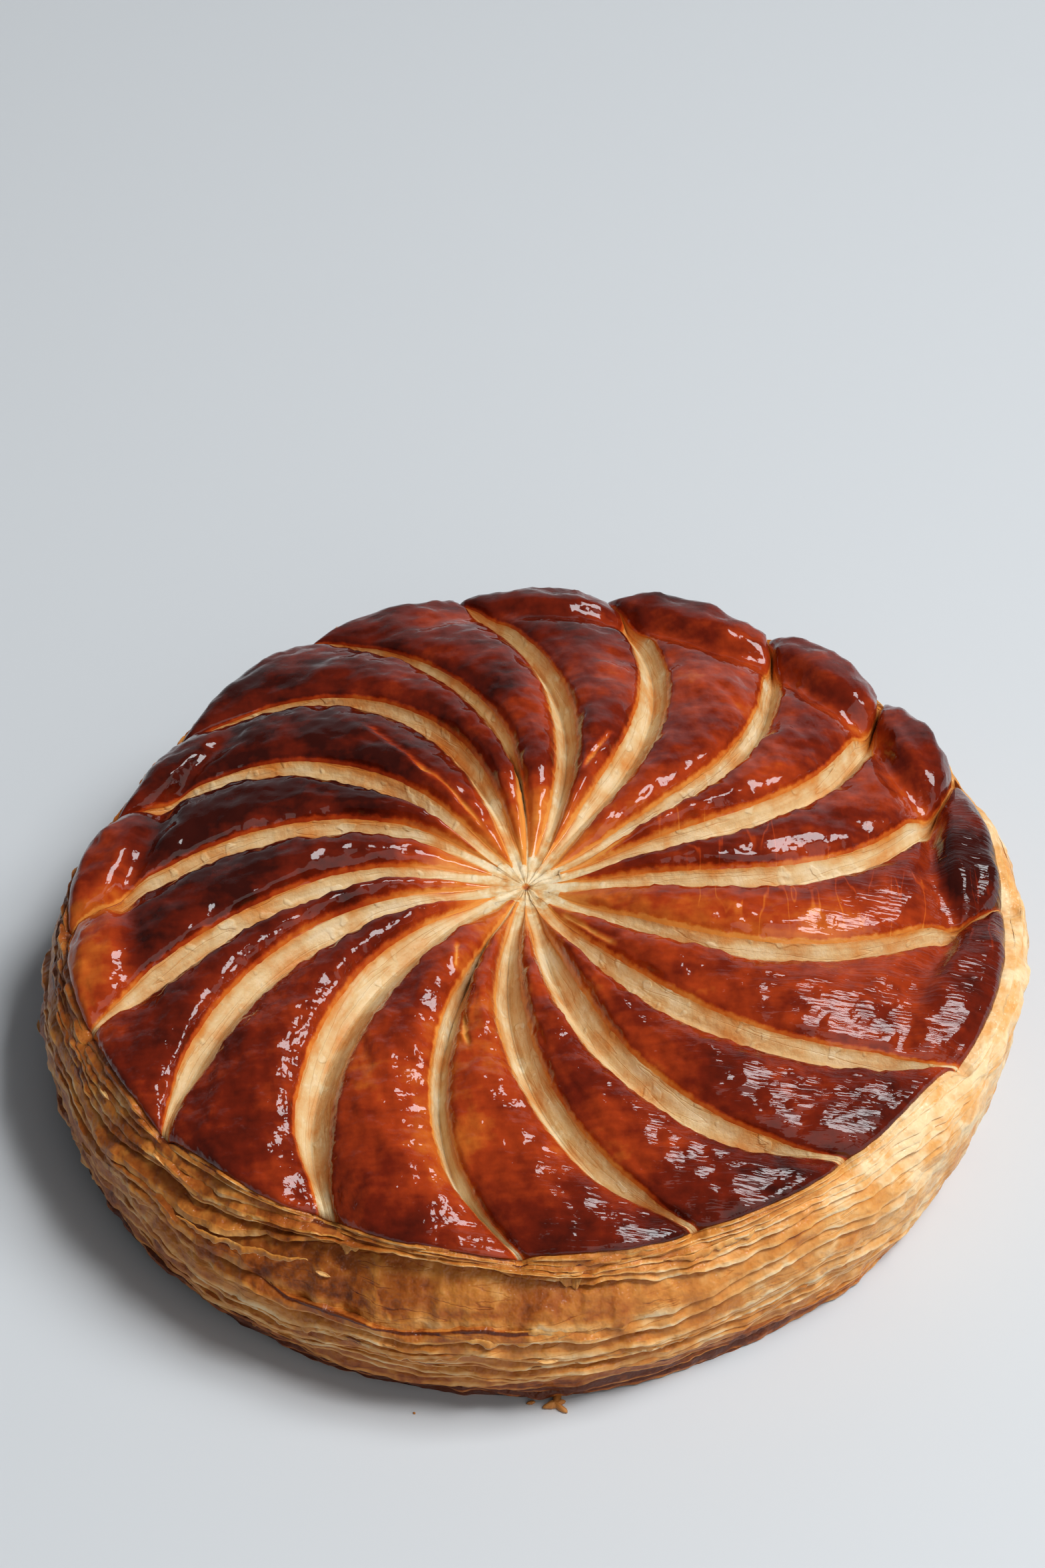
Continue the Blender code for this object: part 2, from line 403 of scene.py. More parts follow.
# %% The table of the cuts
Cut = namedtuple("Cut", "bearing swing bend width tail valley bulge notch")
CUTS_IN_MM = (
    (-71, 30, 1.85, 8.0, 0.25, 0.0, -1.4, -4.0),
    (-49.7, 32, 2.05, 9.0, 0.25, 0.0, -2.2, -4.2),
    (-28.5, 39, 1.4, 8.5, 0.25, 0.4, 2.5, 0.3),
    (-0.5, 39, 1.75, 7.5, 0.3, 3.0, 2.5, 1.7),
    (22, 29, 2.9, 8.5, 0.3, 4.0, 3.5, 2.1),
    (39, 25.5, 2.6, 8.0, 0.5, 3.6, 4.0, 2.6),
    (58, 30.5, 2.0, 6.0, 0.5, 3.4, 3.0, 2.4),
    (81, 28.5, 2.1, 8.5, 0.5, 3.0, 0.6, 1.3),
    (101.5, 34, 1.35, 6.5, 0.3, 1.2, 0.2, 0.3),
    (123, 36, 1.4, 4.5, 0.4, 0.3, 2.0, 0.8),
    (149.5, 42.5, 2.1, 7.0, 0.3, 0.4, 1.5, 1.2),
    (167, 31.5, 1.85, 8.5, 0.7, 2.4, 4.0, 1.9),
    (185, 44, 0.8, 8.0, 0.2, 2.6, 3.0, 2.4),
    (202, 36, 0.6, 8.5, 0.25, 0.8, 2.0, 1.7),
    (221, 20.5, 2.2, 9.0, 0.3, 0.0, 1.0, 1.6),
    (244.2, 22.5, 2.15, 11.0, 0.45, 0.0, 0.6, -3.2),
    (268, 20, 3.2, 4.5, 0.3, 0.0, -0.4, -2.0),
)
CUTS = [
    Cut(bearing, swing, bend, width * MM, tail, valley * MM, bulge * MM, notch * MM)
    for bearing, swing, bend, width, tail, valley, bulge, notch in CUTS_IN_MM
]
widths = [cut.width / MM for cut in CUTS]
print(len(CUTS), "cuts, from", min(widths), "to", max(widths), "mm wide")

# %% The line, width and depth of a cut
RIM_FLAT_DEPTH = 7 * MM
# A name that ends in AT holds a bearing and a span, in degrees.
RIM_FLAT_AT = (153, 23)
CUT_DEPTH = 6.5 * MM
FULL_DEPTH_WIDTH = 7 * MM
WIDEST_HALF_GAP = 0.3
NARROW_CUT = 5 * MM
CREASING_VALLEY = (1.5 * MM, 3 * MM)


def climb(value, low, high):
    """The same smooth climb as soft_step, on arrays."""
    share = np.clip((value - low) / (high - low), 0.0, 1.0)
    return share * share * (3 - 2 * share)


def hill(value, middle, width):
    """The same smooth hill as soft_bump, on arrays."""
    return np.exp(-((value - middle) / width) ** 2)


def facing(bearing, middle, span):
    """A hill round the cake: bearings are in radians, its middle and its span in degrees."""
    return hill((np.degrees(bearing) - middle + 180) % 360 - 180, 0, span)


def rim_flat(bearing):
    """How far the cake falls short of its circle where its side is flattened."""
    return RIM_FLAT_DEPTH * facing(bearing, *RIM_FLAT_AT)


def cut_bearing(cut, ring):
    """The bearing of a cut's middle line, in radians, at a ring from 0 (hub) to 1 (rim)."""
    return np.radians(cut.bearing - cut.swing * (1 - ring ** cut.bend))


def cut_width(cut, ring):
    """How far a cut gapes: narrow at the hub, widest in the outer half, pinched at the rim."""
    opening = 0.4 + 0.6 * climb(ring, 0.05, 0.5)
    if cut.width < NARROW_CUT:
        opening = opening * (0.3 + 0.7 * climb(ring, 0.25, 0.45))
    pinch = (1 - cut.tail) * climb(ring, 0.84, 0.98)
    crease = 0.86 * climb(cut.valley, *CREASING_VALLEY) * climb(ring, 0.87, 0.925)
    return cut.width * opening * (1 - np.maximum(pinch, crease))


def cut_depth(cut, ring):
    """How deep a cut is. A narrow cut is shallower too, and all are shallow at both ends."""
    opening = 0.05 + 0.95 * climb(ring, 0.07, 0.38)
    closing = 1 - 0.8 * climb(ring, 0.88, 1.0)
    return CUT_DEPTH * opening * closing * (0.4 + 0.6 * climb(cut.width, 0.0, FULL_DEPTH_WIDTH))


def widest_gap(ring):
    """The largest share of the way to the next cut that half a cut may take."""
    return WIDEST_HALF_GAP + 0.18 * (1 - climb(ring, 0.05, 0.18))


print("the first cut is", round(cut_depth(CUTS[0], 0.5) / MM, 1), "mm deep halfway out")

# %% [markdown]
# ## The wheel laid out flat
# The lid is first laid out flat, as a web of rings and columns. The columns of a blade run along
# it: some up the wall of its first cut, most across its back, and some down to the next cut. Each
# point carries what the next step needs to raise it: its ring, its share of the way across the
# blade, how far up the cut's wall it is and how far in from the blade's edge.
# A nibble makes the edges of the cuts a little ragged, as a knife leaves them.

# %% Lay out the flat wheel
RIM_RADIUS = 115 * MM
HUB_RING = 0.008
RING_COUNT = 105
ROLL_START = 0.965
ROLL_RINGS = 10
WALL_STEPS = 11
BLADE_STEPS = 32
EVEN_STEPS = 0.62
NIBBLE = 0.22 * MM
NIBBLE_COUNTS = (9, 17, 31, 53)
SEED = 17
WHEEL_VALUES = "bearing share rise inset across depth ring valley bulge notch blade".split()


def ring_places():
    """The rings from the hub to the rim, closest together where the rim rolls over."""
    spread = np.linspace(HUB_RING, ROLL_START, RING_COUNT - ROLL_RINGS)
    turns = np.sin(np.linspace(0, np.pi / 2, ROLL_RINGS + 1))[1:]
    return np.concatenate((spread, ROLL_START + (1 - ROLL_START) * turns))


def wobble(draw, ring, counts):
    """A ragged wave along a cut, about 1 high."""
    total = np.zeros_like(ring)
    for count in counts:
        total += np.sin(count * 2 * np.pi * ring + draw.uniform(0, 2 * np.pi)) * draw.uniform(0.5, 1)
    return total / len(counts) ** 0.5


def blade_columns(cut, next_cut, ring, nibbles):
    """One blade's columns: bearing, share, rise up the wall, way in from the edge, width, depth."""
    start = cut_bearing(cut, ring)
    span = (cut_bearing(next_cut, ring) - start) % (2 * np.pi)
    radius = RIM_RADIUS * ring
    fade = climb(ring, 0.08, 0.3) * (1 - 0.8 * climb(ring, 0.93, 1.0))
    gaps = [cut_width(c, ring) / 2 + n * NIBBLE * fade for c, n in zip((cut, next_cut), nibbles)]
    first, last = (np.minimum(gap / radius, widest_gap(ring) * span) for gap in gaps)
    across = span - first - last
    even = np.linspace(0, 1, BLADE_STEPS)
    shares = EVEN_STEPS * even + (1 - EVEN_STEPS) * (0.5 - 0.5 * np.cos(np.pi * even))
    climbs = np.arange(WALL_STEPS) / WALL_STEPS
    columns = [(start + first * up, 0.0, up, cut) for up in climbs]
    columns += [(start + first + across * share, share, 1.0, cut) for share in shares]
    columns += [(start + span - last * up, 1.0, up, next_cut) for up in climbs[:0:-1]]
    rows = []
    for bearing, share, up, owner in columns:
        inset = np.minimum(share, 1 - share) * across * radius
        rows.append((bearing, share, up, inset, across * radius, cut_depth(owner, ring)))
    return rows


def flat_wheel():
    """All the lid's points in plan, ring by ring, with the values that they carry."""
    draw = np.random.RandomState(SEED)
    ring = ring_places()
    nibbles = [(wobble(draw, ring, NIBBLE_COUNTS), wobble(draw, ring, NIBBLE_COUNTS)) for _ in CUTS]
    values = {name: [] for name in WHEEL_VALUES}
    for index, cut in enumerate(CUTS):
        after = (index + 1) % len(CUTS)
        next_cut = CUTS[after]
        for column in blade_columns(cut, next_cut, ring, (nibbles[index][0], nibbles[after][1])):
            valley = cut.valley + (next_cut.valley - cut.valley) * column[1]
            notch = cut.notch + (next_cut.notch - cut.notch) * column[1]
            for name, value in zip(WHEEL_VALUES, (*column, ring, valley, cut.bulge, notch, index)):
                values[name].append(np.broadcast_to(value, ring.shape))
    return {name: np.array(columns).T for name, columns in values.items()}


wheel = flat_wheel()
print("the wheel has", wheel["ring"].shape[0], "rings of", wheel["ring"].shape[1], "points")

# %% [markdown]
# ## Small scores and the rolled rim
# The knife also left a few short scores that run across a blade or alongside a cut near the hub.
# They baked to thin orange creases. At the back and the right the lid's edge puffed up into
# lobes and rolls well over the side, while at the front it ends almost sharply.

# %% Place the small scores and the roll of the rim
Score = namedtuple("Score", "blade ring_in share_in ring_out share_out")
SCORES = (
    Score(10, 0.30, 0.80, 0.60, 0.36),
    Score(10, 0.15, 0.66, 0.42, 0.70),
    Score(7, 0.30, 0.59, 0.46, 0.15),
    Score(9, 0.08, 0.22, 0.38, 0.07),
    Score(15, 0.28, 0.50, 0.36, 0.88),
    Score(5, 0.09, 0.36, 0.28, 0.56),
    Score(16, 0.45, 0.08, 0.55, 0.30),
    Score(2, 0.12, 0.30, 0.33, 0.12),
)
SCORE_HALF_WIDTH = 0.55 * MM
ON_BLADE = 0.999
FRONT_ROLL = 1.2 * MM
BACK_ROLL = 3.4 * MM
BACK_AT = (95, 85)
ROLL_REACH = 0.4
LOBED_VALLEY = 3 * MM
DEEPEST_VALLEY = 4 * MM


def score_marks(wheel):
    """1 on the small scores and 0 away from them."""
    marks = np.zeros_like(wheel["ring"])
    for score in SCORES:
        along = (wheel["ring"] - score.ring_in) / (score.ring_out - score.ring_in)
        share = score.share_in + (score.share_out - score.share_in) * along
        aside = (wheel["share"] - share) * wheel["across"]
        ends = climb(along, 0.0, 0.25) * (1 - climb(along, 0.75, 1.0))
        on_blade = (wheel["blade"] == score.blade) & (wheel["rise"] > ON_BLADE)
        marks += on_blade * ends * hill(aside, 0, SCORE_HALF_WIDTH)
    return marks


def rim_roll(wheel):
    """The radius of the lid's rolled edge."""
    back = 1.3 * facing(wheel["bearing"], *BACK_AT)
    lobed = climb(wheel["valley"], 0.0, LOBED_VALLEY)
    return FRONT_ROLL + (BACK_ROLL - FRONT_ROLL) * np.clip(np.maximum(back, lobed), 0, 1)


wheel["scored"] = score_marks(wheel)
wheel["roll"] = rim_roll(wheel)
rolls = [round(float(roll) / MM, 1) for roll in (wheel["roll"].min(), wheel["roll"].max())]
print(len(SCORES), "small scores; the rim rolls over by", rolls[0], "to", rolls[1], "mm")

# %% [markdown]
# ## How brown each place bakes
# An oven browns what stands proud and what lies near its hottest side, and leaves hollows pale.
# On this cake the rim lobes and the far left are darkest, the front and the middle are a warmer
# red, and the ring valley is orange. That is worked out once here, from the plan, as a value
# called browning that the glaze reads later. Most of it is a table of places: how much browner
# or paler, at which bearing and over what span, and from which ring outwards.

# %% Work out the browning
VALLEY_RING = 0.9
VALLEY_BOW = 0.035
SLIGHT_VALLEY = 0.5 * MM
MEDIUM_BROWN = 0.48
# Rings start above 0, so a climb from -1 to 0 is complete all over the lid.
EVERYWHERE = (-1, 0)

Baked = namedtuple("Baked", "extra bearing span ring_in ring_out")
BAKED = (
    Baked(0.38, 150, 62, 0.12, 0.45),
    Baked(0.12, 215, 25, 0.2, 0.5),
    Baked(0.14, 80, 60, 0.90, 0.96),
    Baked(-0.6, 190, 18, 0.85, 0.92),
    Baked(0.26, -68, 62, 0.72, 1.0),
    Baked(-0.08, -20, 20, *EVERYWHERE),
    Baked(0.09, 6, 16, *EVERYWHERE),
    Baked(0.1, -58, 12, 0.4, 0.7),
    Baked(-0.13, -108, 18, 0.2, 0.5),
)


def browning_of(wheel):
    """The share of full browning, 0 for orange pastry and 1 for nearly black."""
    ring, share, bearing, valley = (wheel[name] for name in ("ring", "share", "bearing", "valley"))
    draw = np.random.RandomState(SEED + 1)
    blades = draw.uniform(-0.05, 0.05, len(CUTS))[wheel["blade"].astype(int)]
    bow = 4 * share * (1 - share)
    bowed_in = VALLEY_BOW * bow
    brown = MEDIUM_BROWN + blades + 0.10 * bow - 0.5 * wheel["scored"]
    for baked in BAKED:
        place = facing(bearing, baked.bearing, baked.span) * climb(ring, baked.ring_in, baked.ring_out)
        brown = brown + baked.extra * place
    lobed = climb(valley, SLIGHT_VALLEY, LOBED_VALLEY)
    inner_face = climb(ring, 0.905 - bowed_in, 0.925 - bowed_in)
    brown = brown + inner_face * (0.04 * lobed * facing(bearing, 30, 30) + 0.32 * facing(bearing, 4, 18))
    brown = brown - 0.14 * valley / DEEPEST_VALLEY * hill(ring, VALLEY_RING - bowed_in, 0.022)
    return brown - 0.42 * (1 - climb(ring, 0.06, 0.34))


def glazed_part(wheel):
    """1 where egg was brushed on, 0 in the cuts and on the bare hub."""
    draw = np.random.RandomState(SEED + 3)
    tips = draw.uniform(0.06, 0.09, len(CUTS))[wheel["blade"].astype(int)]
    return (wheel["rise"] > ON_BLADE) & (wheel["ring"] > tips)


def toast_and_shade_of(wheel):
    """Darker walls of the cuts, most in creases between lobes and far back: partly toast, partly painted
    shade.
    """
    ring, bearing = wheel["ring"], wheel["bearing"]
    creases = climb(ring, 0.86, 0.93) * climb(wheel["valley"], *CREASING_VALLEY)
    back = facing(bearing, 125, 70) * climb(ring, 0.15, 0.5)
    return 0.4 * creases + 0.12 * back - 0.03 * facing(bearing, -5, 35)


wheel["browning"] = browning_of(wheel)
wheel["glazed"] = glazed_part(wheel)
wheel["toast_and_shade"] = toast_and_shade_of(wheel)
print("browning runs from", wheel["browning"].min().round(2), "to", wheel["browning"].max().round(2))

# %% [markdown]
# ## The glaze
# Egg brushed on pastry bakes to a thin brown varnish: a clear, shiny coat over colour that goes
# from orange to mahogany. A Principled shader with a coat does that. The colour comes from the
# browning value through a colour ramp, mottled by noise. The coat has a normal of its own, which
# takes most of the bump, because the wrinkles are in the egg and break up its reflections, while
# the pastry under it is smooth. The orange line along each edge is where the glaze thins over the
# corner. Rolling the dough left its grain along the cake's two straight directions, and the egg
# crazed along it: fine lines one way at the front right, and a few pale cracks the other way at
# the right.

# %% Helpers for materials
def carried(tree, name):
    """A value that the mesh carries, read in a material."""
    node = tree.nodes.new("ShaderNodeAttribute")
    node.attribute_name = name
    return Field(tree, node.outputs["Fac"])


def own_place(tree):
    """The point's own place on the piece, in metres."""
    return result(tree, "ShaderNodeTexCoord", "Object")


def paint(shader, tone, stops):
    """Colours the shader by tone, blended between the stops of a ramp."""
    node = add_node(tone.tree, "ShaderNodeValToRGB", Fac=tone)
    ramp = node.color_ramp
    for index, (place, colour) in enumerate(stops):
        stop = ramp.elements[index] if index < 2 else ramp.elements.new(place)
        stop.position = place
        stop.color = (*colour, 1)
    tone.tree.links.new(node.outputs["Color"], shader.inputs["Base Color"])


def add_bump(shader, height, distance, layer="Normal"):
    """Bends the shading of one layer as if the surface rose by height times distance."""
    node = add_node(height.tree, "ShaderNodeBump", Height=height, Distance=distance)
    height.tree.links.new(node.outputs["Normal"], shader.inputs[layer])


print("materials can now be painted and bumped")

# %% Mix the glaze
GLAZE_TONES = (
    (0.0, (0.72, 0.27, 0.050)),
    (0.22, (0.56, 0.12, 0.014)),
    (0.45, (0.36, 0.038, 0.006)),
    (0.7, (0.15, 0.012, 0.003)),
    (1.0, (0.035, 0.004, 0.002)),
)
EDGE_LINE = 0.6 * MM
EDGE_RAG = 0.4 * MM
# Each of these is where a mark starts and where it is at its full strength.
CRACKS_FROM = (15 * MM, 40 * MM)
CRACKS_FADE = (15 * MM, 30 * MM)
CRAZED_FROM = (45 * MM, 75 * MM)
FRONT_FROM = (10 * MM, 60 * MM)
SKIN_BUMP = 0.12 * MM
EGG_BUMP = 0.8 * MM
EGG_COAT = {"Coat_Weight": 1.0, "Coat_Roughness": 0.07, "Coat_IOR": 1.43}


def make_glaze():
    """Baked egg glaze: mottled orange to mahogany under a clear coat."""
    material, tree, shader = new_material("egg_glaze", 0.4, Specular_IOR_Level=0.0, **EGG_COAT)
    place = own_place(tree)
    x, y, z = split_xyz(place)
    specks = grain(place, 420, 3, 0.6)
    strokes = streaks(x * 60, y * 420, z * 60, 2)
    brown = carried(tree, "browning") + grain(place, 45, 3) * 0.42 + grain(place, 160, 2) * 0.2
    brown = brown + specks * 0.12 + strokes * 0.14
    edge = 1 - soft_step(carried(tree, "inset") + specks * EDGE_RAG, 0.0, EDGE_LINE)
    right = soft_step(x, *CRACKS_FROM) * (1 - soft_step(abs(y), *CRACKS_FADE))
    seams = abs(streaks(x * 130, y * 26, 0, 2))
    cracks = (1 - soft_step(seams, 0.0, 0.03)) * right * soft_step(grain(place, 60, 1), 0.0, 0.2)
    paint(shader, brown - edge * 0.35 - cracks * 0.2, GLAZE_TONES)
    crazed = soft_step(x * 0.75 - y * 0.65, *CRAZED_FROM)
    crazing = streaks(x * 110, y * 1000, z * 110, 2) * crazed
    front = soft_step(y * -1, *FRONT_FROM) * (1 - crazed)
    wrinkles = grain(place, 330, 1) + grain(place, 800, 1) * 0.25
    add_bump(shader, wrinkles + crazing * 0.6, SKIN_BUMP)
    egg = wrinkles * (0.11 + 0.29 * front) + crazing * 0.22
    add_bump(shader, egg, EGG_BUMP, layer="Coat Normal")
    return material


glaze = make_glaze()
print("mixed", glaze.name)

# %% Mix the crumb
CRUMB_TONES = (
    (0.0, (0.76, 0.61, 0.39)),
    (0.25, (0.69, 0.48, 0.24)),
    (0.48, (0.63, 0.32, 0.11)),
    (0.72, (0.62, 0.22, 0.036)),
    (1.0, (0.42, 0.10, 0.016)),
)
CRUMB_BUMP = 0.36 * MM
SEAM_WIDTH = 0.04
# Light spreads a little way inside the pastry, and its red part goes farthest.
GLOW = {"Subsurface_Weight": 0.3, "Subsurface_Scale": 0.8 * MM, "Subsurface_Radius": (1.0, 0.8, 0.6)}


def make_crumb():
    """The pale, layered inside of the pastry, as the walls of the cuts show it."""
    material, tree, shader = new_material("pale_crumb", 0.5, Specular_IOR_Level=0.35, **GLOW)
    place = own_place(tree)
    rise, ring = carried(tree, "rise"), carried(tree, "ring")
    beside = carried(tree, "blade") * 3.7
    out = soft_step(ring, 0.075, 0.13)
    away = soft_step(ring, 0.08, 0.3)
    layers = streaks(ring * 6, rise * 4.5, beside, 2) * away
    seams = abs(streaks(ring * 4, rise * 2.4, beside + 1.3, 1))
    lines = (1 - soft_step(seams, 0.0, SEAM_WIDTH)) * away
    specks = grain(place, 330, 3, 0.6)
    pockets = soft_step(grain(place, 260, 1), 0.22, 0.42)
    crest = rise ** 5 * 0.65 * out + rise ** 2 * 0.5 * soft_bump(ring, 0.16, 0.06)
    # The bottom of each cut's wall is painted darker: painted shade in the cut.
    foot = (1 - rise) ** 3 * 0.16 * out
    # The pin-hole at the middle is painted dark: painted shade inside the hole.
    pin_hole_shade = 1 - soft_step(ring, 0.004, 0.012)
    tone = 0.2 + crest + foot + layers * 0.18 + specks * 0.22 + grain(place, 95, 2) * 0.6
    # The walls are darker in the creases between lobes and at the back: partly toasting, partly painted
    # shade.
    tone = tone - pockets * 0.14 + lines * 0.08 + carried(tree, "toast_and_shade")
    paint(shader, tone + (1 - out) * specks * 0.6 + pin_hole_shade, CRUMB_TONES)
    add_bump(shader, layers * 0.2 + specks * 0.6 + pockets * 0.5 - lines * 0.2, CRUMB_BUMP)
    return material


crumb = make_crumb()
print("mixed", crumb.name)

# %% [markdown]
# ## Raising the lid
# The lid's shape follows a rule, so Geometry Nodes raise it from the flat wheel. The height is a
# sum: the dome, the dimple in its middle, the crown of each blade, the walls down to the bottom
# of the cuts, and the ring valley with the lobes outside it. Then the skin is pushed along its
# normals by noise, for the blisters and stretch marks that puffing leaves.

# %% The height of the lid
LOBE_GAP = 0.01
LID_SIZES = {
    "Rim Height": RIM_HEIGHT,
    "Rim Radius": RIM_RADIUS,
    "Dome Height": 14 * MM,
    "Dome Power": 3.2,
    "Dimple Depth": 9 * MM,
    "Dimple Ring": 0.22,
    "Crown": 3.2 * MM,
    "Edge Drop": 0.9 * MM,
    "Shoulder": 1.7 * MM,
    "Wall Power": 1.15,
    "Score Depth": 0.7 * MM,
    "Valley Ring": VALLEY_RING,
    "Valley Bow": VALLEY_BOW,
    "Valley Width": 0.028,
    "Lobe Rise": 0.036,
    "Lobe Fall": 0.5,
    "Puff": 0.5,
    "Blister Height": 1.3 * MM,
    "Lump Height": 1.8 * MM,
    "Ripple Height": 0.75 * MM,
    "Stretch Height": 0.5 * MM,
    "Layer Height": 0.6 * MM,
    "Hub Roughness": 0.9 * MM,
    "Seed": 17,
}


def lid_height(tree, size, ring, share, rise, inset):
    """The height of the lid's skin as one formula."""
    blade, depth, scored, valley = on_mesh(tree, "blade", "depth", "scored", "valley")
    bulge, roll = on_mesh(tree, "bulge", "roll")
    bow = 4 * share * (1 - share)
    dome = size["Dome Height"] * (1 - ring ** size["Dome Power"])
    dimple = size["Dimple Depth"] * soft_bump(ring, 0.0, size["Dimple Ring"])
    arch = 1 - abs(share * 2 - 1) ** 2.4
    puffs = streaks(ring * 5, blade * 7.3, size["Seed"], 1)
    crown = size["Crown"] * soft_step(ring, 0.03, 0.35) * arch * (1 + puffs * size["Puff"])
    corner = 1 - maths("MINIMUM", inset / size["Shoulder"], 1.0)
    edge_drop = size["Edge Drop"] * soft_step(ring, 0.06, 0.16)
    wall = (depth - edge_drop) * (1 - rise ** size["Wall Power"])
    sunk = edge_drop * corner * corner + wall + size["Score Depth"] * scored
    valley_ring = size["Valley Ring"] - size["Valley Bow"] * bow
    trough = valley * soft_bump(ring, valley_ring, size["Valley Width"]) * (rise * 0.8 + 0.2)
    lobe_start = valley_ring + LOBE_GAP
    inner_face = soft_step(ring, lobe_start, lobe_start + size["Lobe Rise"])
    curb = inner_face * (1 - soft_step(ring, 0.955, 1.0) * size["Lobe Fall"])
    lobe = 0.8 * valley * bow ** 0.5 * curb
    sag = 0.25 * bulge * (1 - bow ** 0.5) * soft_step(ring, 0.92, 1.0)
    over = 1 - maths("MINIMUM", (1 - ring) * size["Rim Radius"] / roll, 1.0)
    rolled = roll * (1 - maths("SQRT", 1 - over * over))
    return size["Rim Height"] + dome - dimple + crown - sunk - trough + lobe - sag - rolled


print("the lid has", len(LID_SIZES), "sizes of its own")

# %% The relief of the lid
SMOOTH_EDGE = 1.8 * MM
RIPPLED_FROM = (0.0, 60 * MM)


def lid_relief(tree, size, ring, share, rise, inset):
    """How far the skin stands out: blisters and marks on the glaze, layers in the cuts."""
    place = result(tree, "GeometryNodeInputPosition")
    blade, valley = on_mesh(tree, "blade", "valley")
    spot = blade + size["Seed"]
    inner = 1 - soft_step(ring, 0.97, 1.0)
    glazed = soft_step(inset, 0.0, SMOOTH_EDGE) * soft_step(ring, 0.08, 0.25) * (inner * 0.7 + 0.3)
    blisters = size["Blister Height"] * grain(place, 95, 1)
    lobed = soft_step(ring, 0.9, 0.96) * soft_step(valley, 0.0, LOBED_VALLEY)
    lumps = size["Lump Height"] * grain(place, 130, 1) * lobed
    in_front = soft_step(split_xyz(place)[1] * -1, *RIPPLED_FROM)
    ripples = size["Ripple Height"] * grain(place, 300, 2) * (1 + 0.4 * in_front)
    marks = size["Stretch Height"] * streaks(ring * 38, share * 2, spot, 2)
    on_wall = soft_step(rise, 0.0, 0.25) * (1 - soft_step(rise, 0.75, 1.0))
    layers = size["Layer Height"] * streaks(ring * 9, rise * 2.4, spot, 1)
    bare_hub = size["Hub Roughness"] * grain(place, 260, 2) * (1 - soft_step(ring, 0.07, 0.12))
    skin = (blisters + lumps + ripples + marks) * glazed
    return skin + layers * on_wall * soft_bump(ring, 0.5, 0.3) + bare_hub


def raise_lid_tree():
    """The whole tree: raise every point, then push it out along its normal."""
    tree, mesh, size = new_tree("raise_lid", LID_SIZES)
    form = on_mesh(tree, "ring", "share", "rise", "inset")
    top, glazed = on_mesh(tree, "skin", "glazed")
    raised = moved(mesh, join_xyz(0, 0, lid_height(tree, size, *form)), top)
    push = tree.nodes.new("ShaderNodeVectorMath")
    push.operation = "SCALE"
    feed(result(tree, "GeometryNodeInputNormal"), push.inputs["Vector"])
    feed(lid_relief(tree, size, *form), push.inputs["Scale"])
    puffed = moved(raised, Field(tree, push.outputs["Vector"]), top)
    return finish_tree(puffed, ((glaze, 1), (crumb, maths("LESS_THAN", glazed, 0.5))))


lid_tree = raise_lid_tree()
print("the lid's tree has", len(lid_tree.nodes), "nodes")

# %% Stretch the lid's skin
HUB_SHIFT = (-2.5 * MM, -0.4 * MM)
LID_UNDERSIDE = 11 * MM
LID_TUCK = 0.955
HUB_DROP = 1.5 * MM
# The hub has no roll, but the formula divides by one.
HUB_ROLL = 1 * MM
PLAN_ONLY = ("bearing", "across", "notch")


def lid_object():
    """The flat wheel as a mesh, closed at the hub by a fan and below by a tucked-in, flat bottom."""
    ring, bearing, share = wheel["ring"], wheel["bearing"], wheel["share"]
    rings, columns = ring.shape
    bow = 4 * share * (1 - share)
    lobe = wheel["notch"] + (wheel["bulge"] - wheel["notch"]) * bow ** 0.6
    lobe = lobe + ROLL_REACH * (wheel["roll"] - FRONT_ROLL)
    reach = RIM_RADIUS * ring + lobe * climb(ring, 0.8, 1.0) - rim_flat(bearing) * climb(ring, 0.6, 1.0)
    x = HUB_SHIFT[0] * (1 - ring ** 2) + reach * np.cos(bearing) + WHEEL_MIDDLE.x
    y = HUB_SHIFT[1] * (1 - ring ** 2) + reach * np.sin(bearing) + WHEEL_MIDDLE.y
    bottom = RIM_HEIGHT - LID_UNDERSIDE
    inner = np.full((columns, 3), bottom)
    inner[:, 0] = WHEEL_MIDDLE.x + LID_TUCK * (x[-1] - WHEEL_MIDDLE.x)
    inner[:, 1] = WHEEL_MIDDLE.y + LID_TUCK * (y[-1] - WHEEL_MIDDLE.y)
    hub = (WHEEL_MIDDLE.x + HUB_SHIFT[0], WHEEL_MIDDLE.y + HUB_SHIFT[1], -HUB_DROP)
    below = (WHEEL_MIDDLE.x, WHEEL_MIDDLE.y, bottom)
    skin = np.stack((x, y, np.zeros_like(x)), axis=-1).reshape(-1, 3)
    points = np.concatenate((skin, inner, (hub, below)))
    ends = {"depth": (wheel["depth"][0].mean(), 0.0), "ring": (0.0, 0.9), "roll": (HUB_ROLL, HUB_ROLL)}
    values = {}
    for name in wheel:
        if name not in PLAN_ONLY:
            closing = ends.get(name, (0.0, 0.0))
            values[name] = np.concatenate((wheel[name].ravel(), wheel[name][-1], closing))
    values["skin"] = np.concatenate((np.ones(rings * columns), np.zeros(columns), (1.0, 0.0)))
    return grid_object("lid_plan", points, closed_skin(rings + 1, columns), values)


lid = run_tree(lid_object(), lid_tree, LID_SIZES, "glazed_lid")

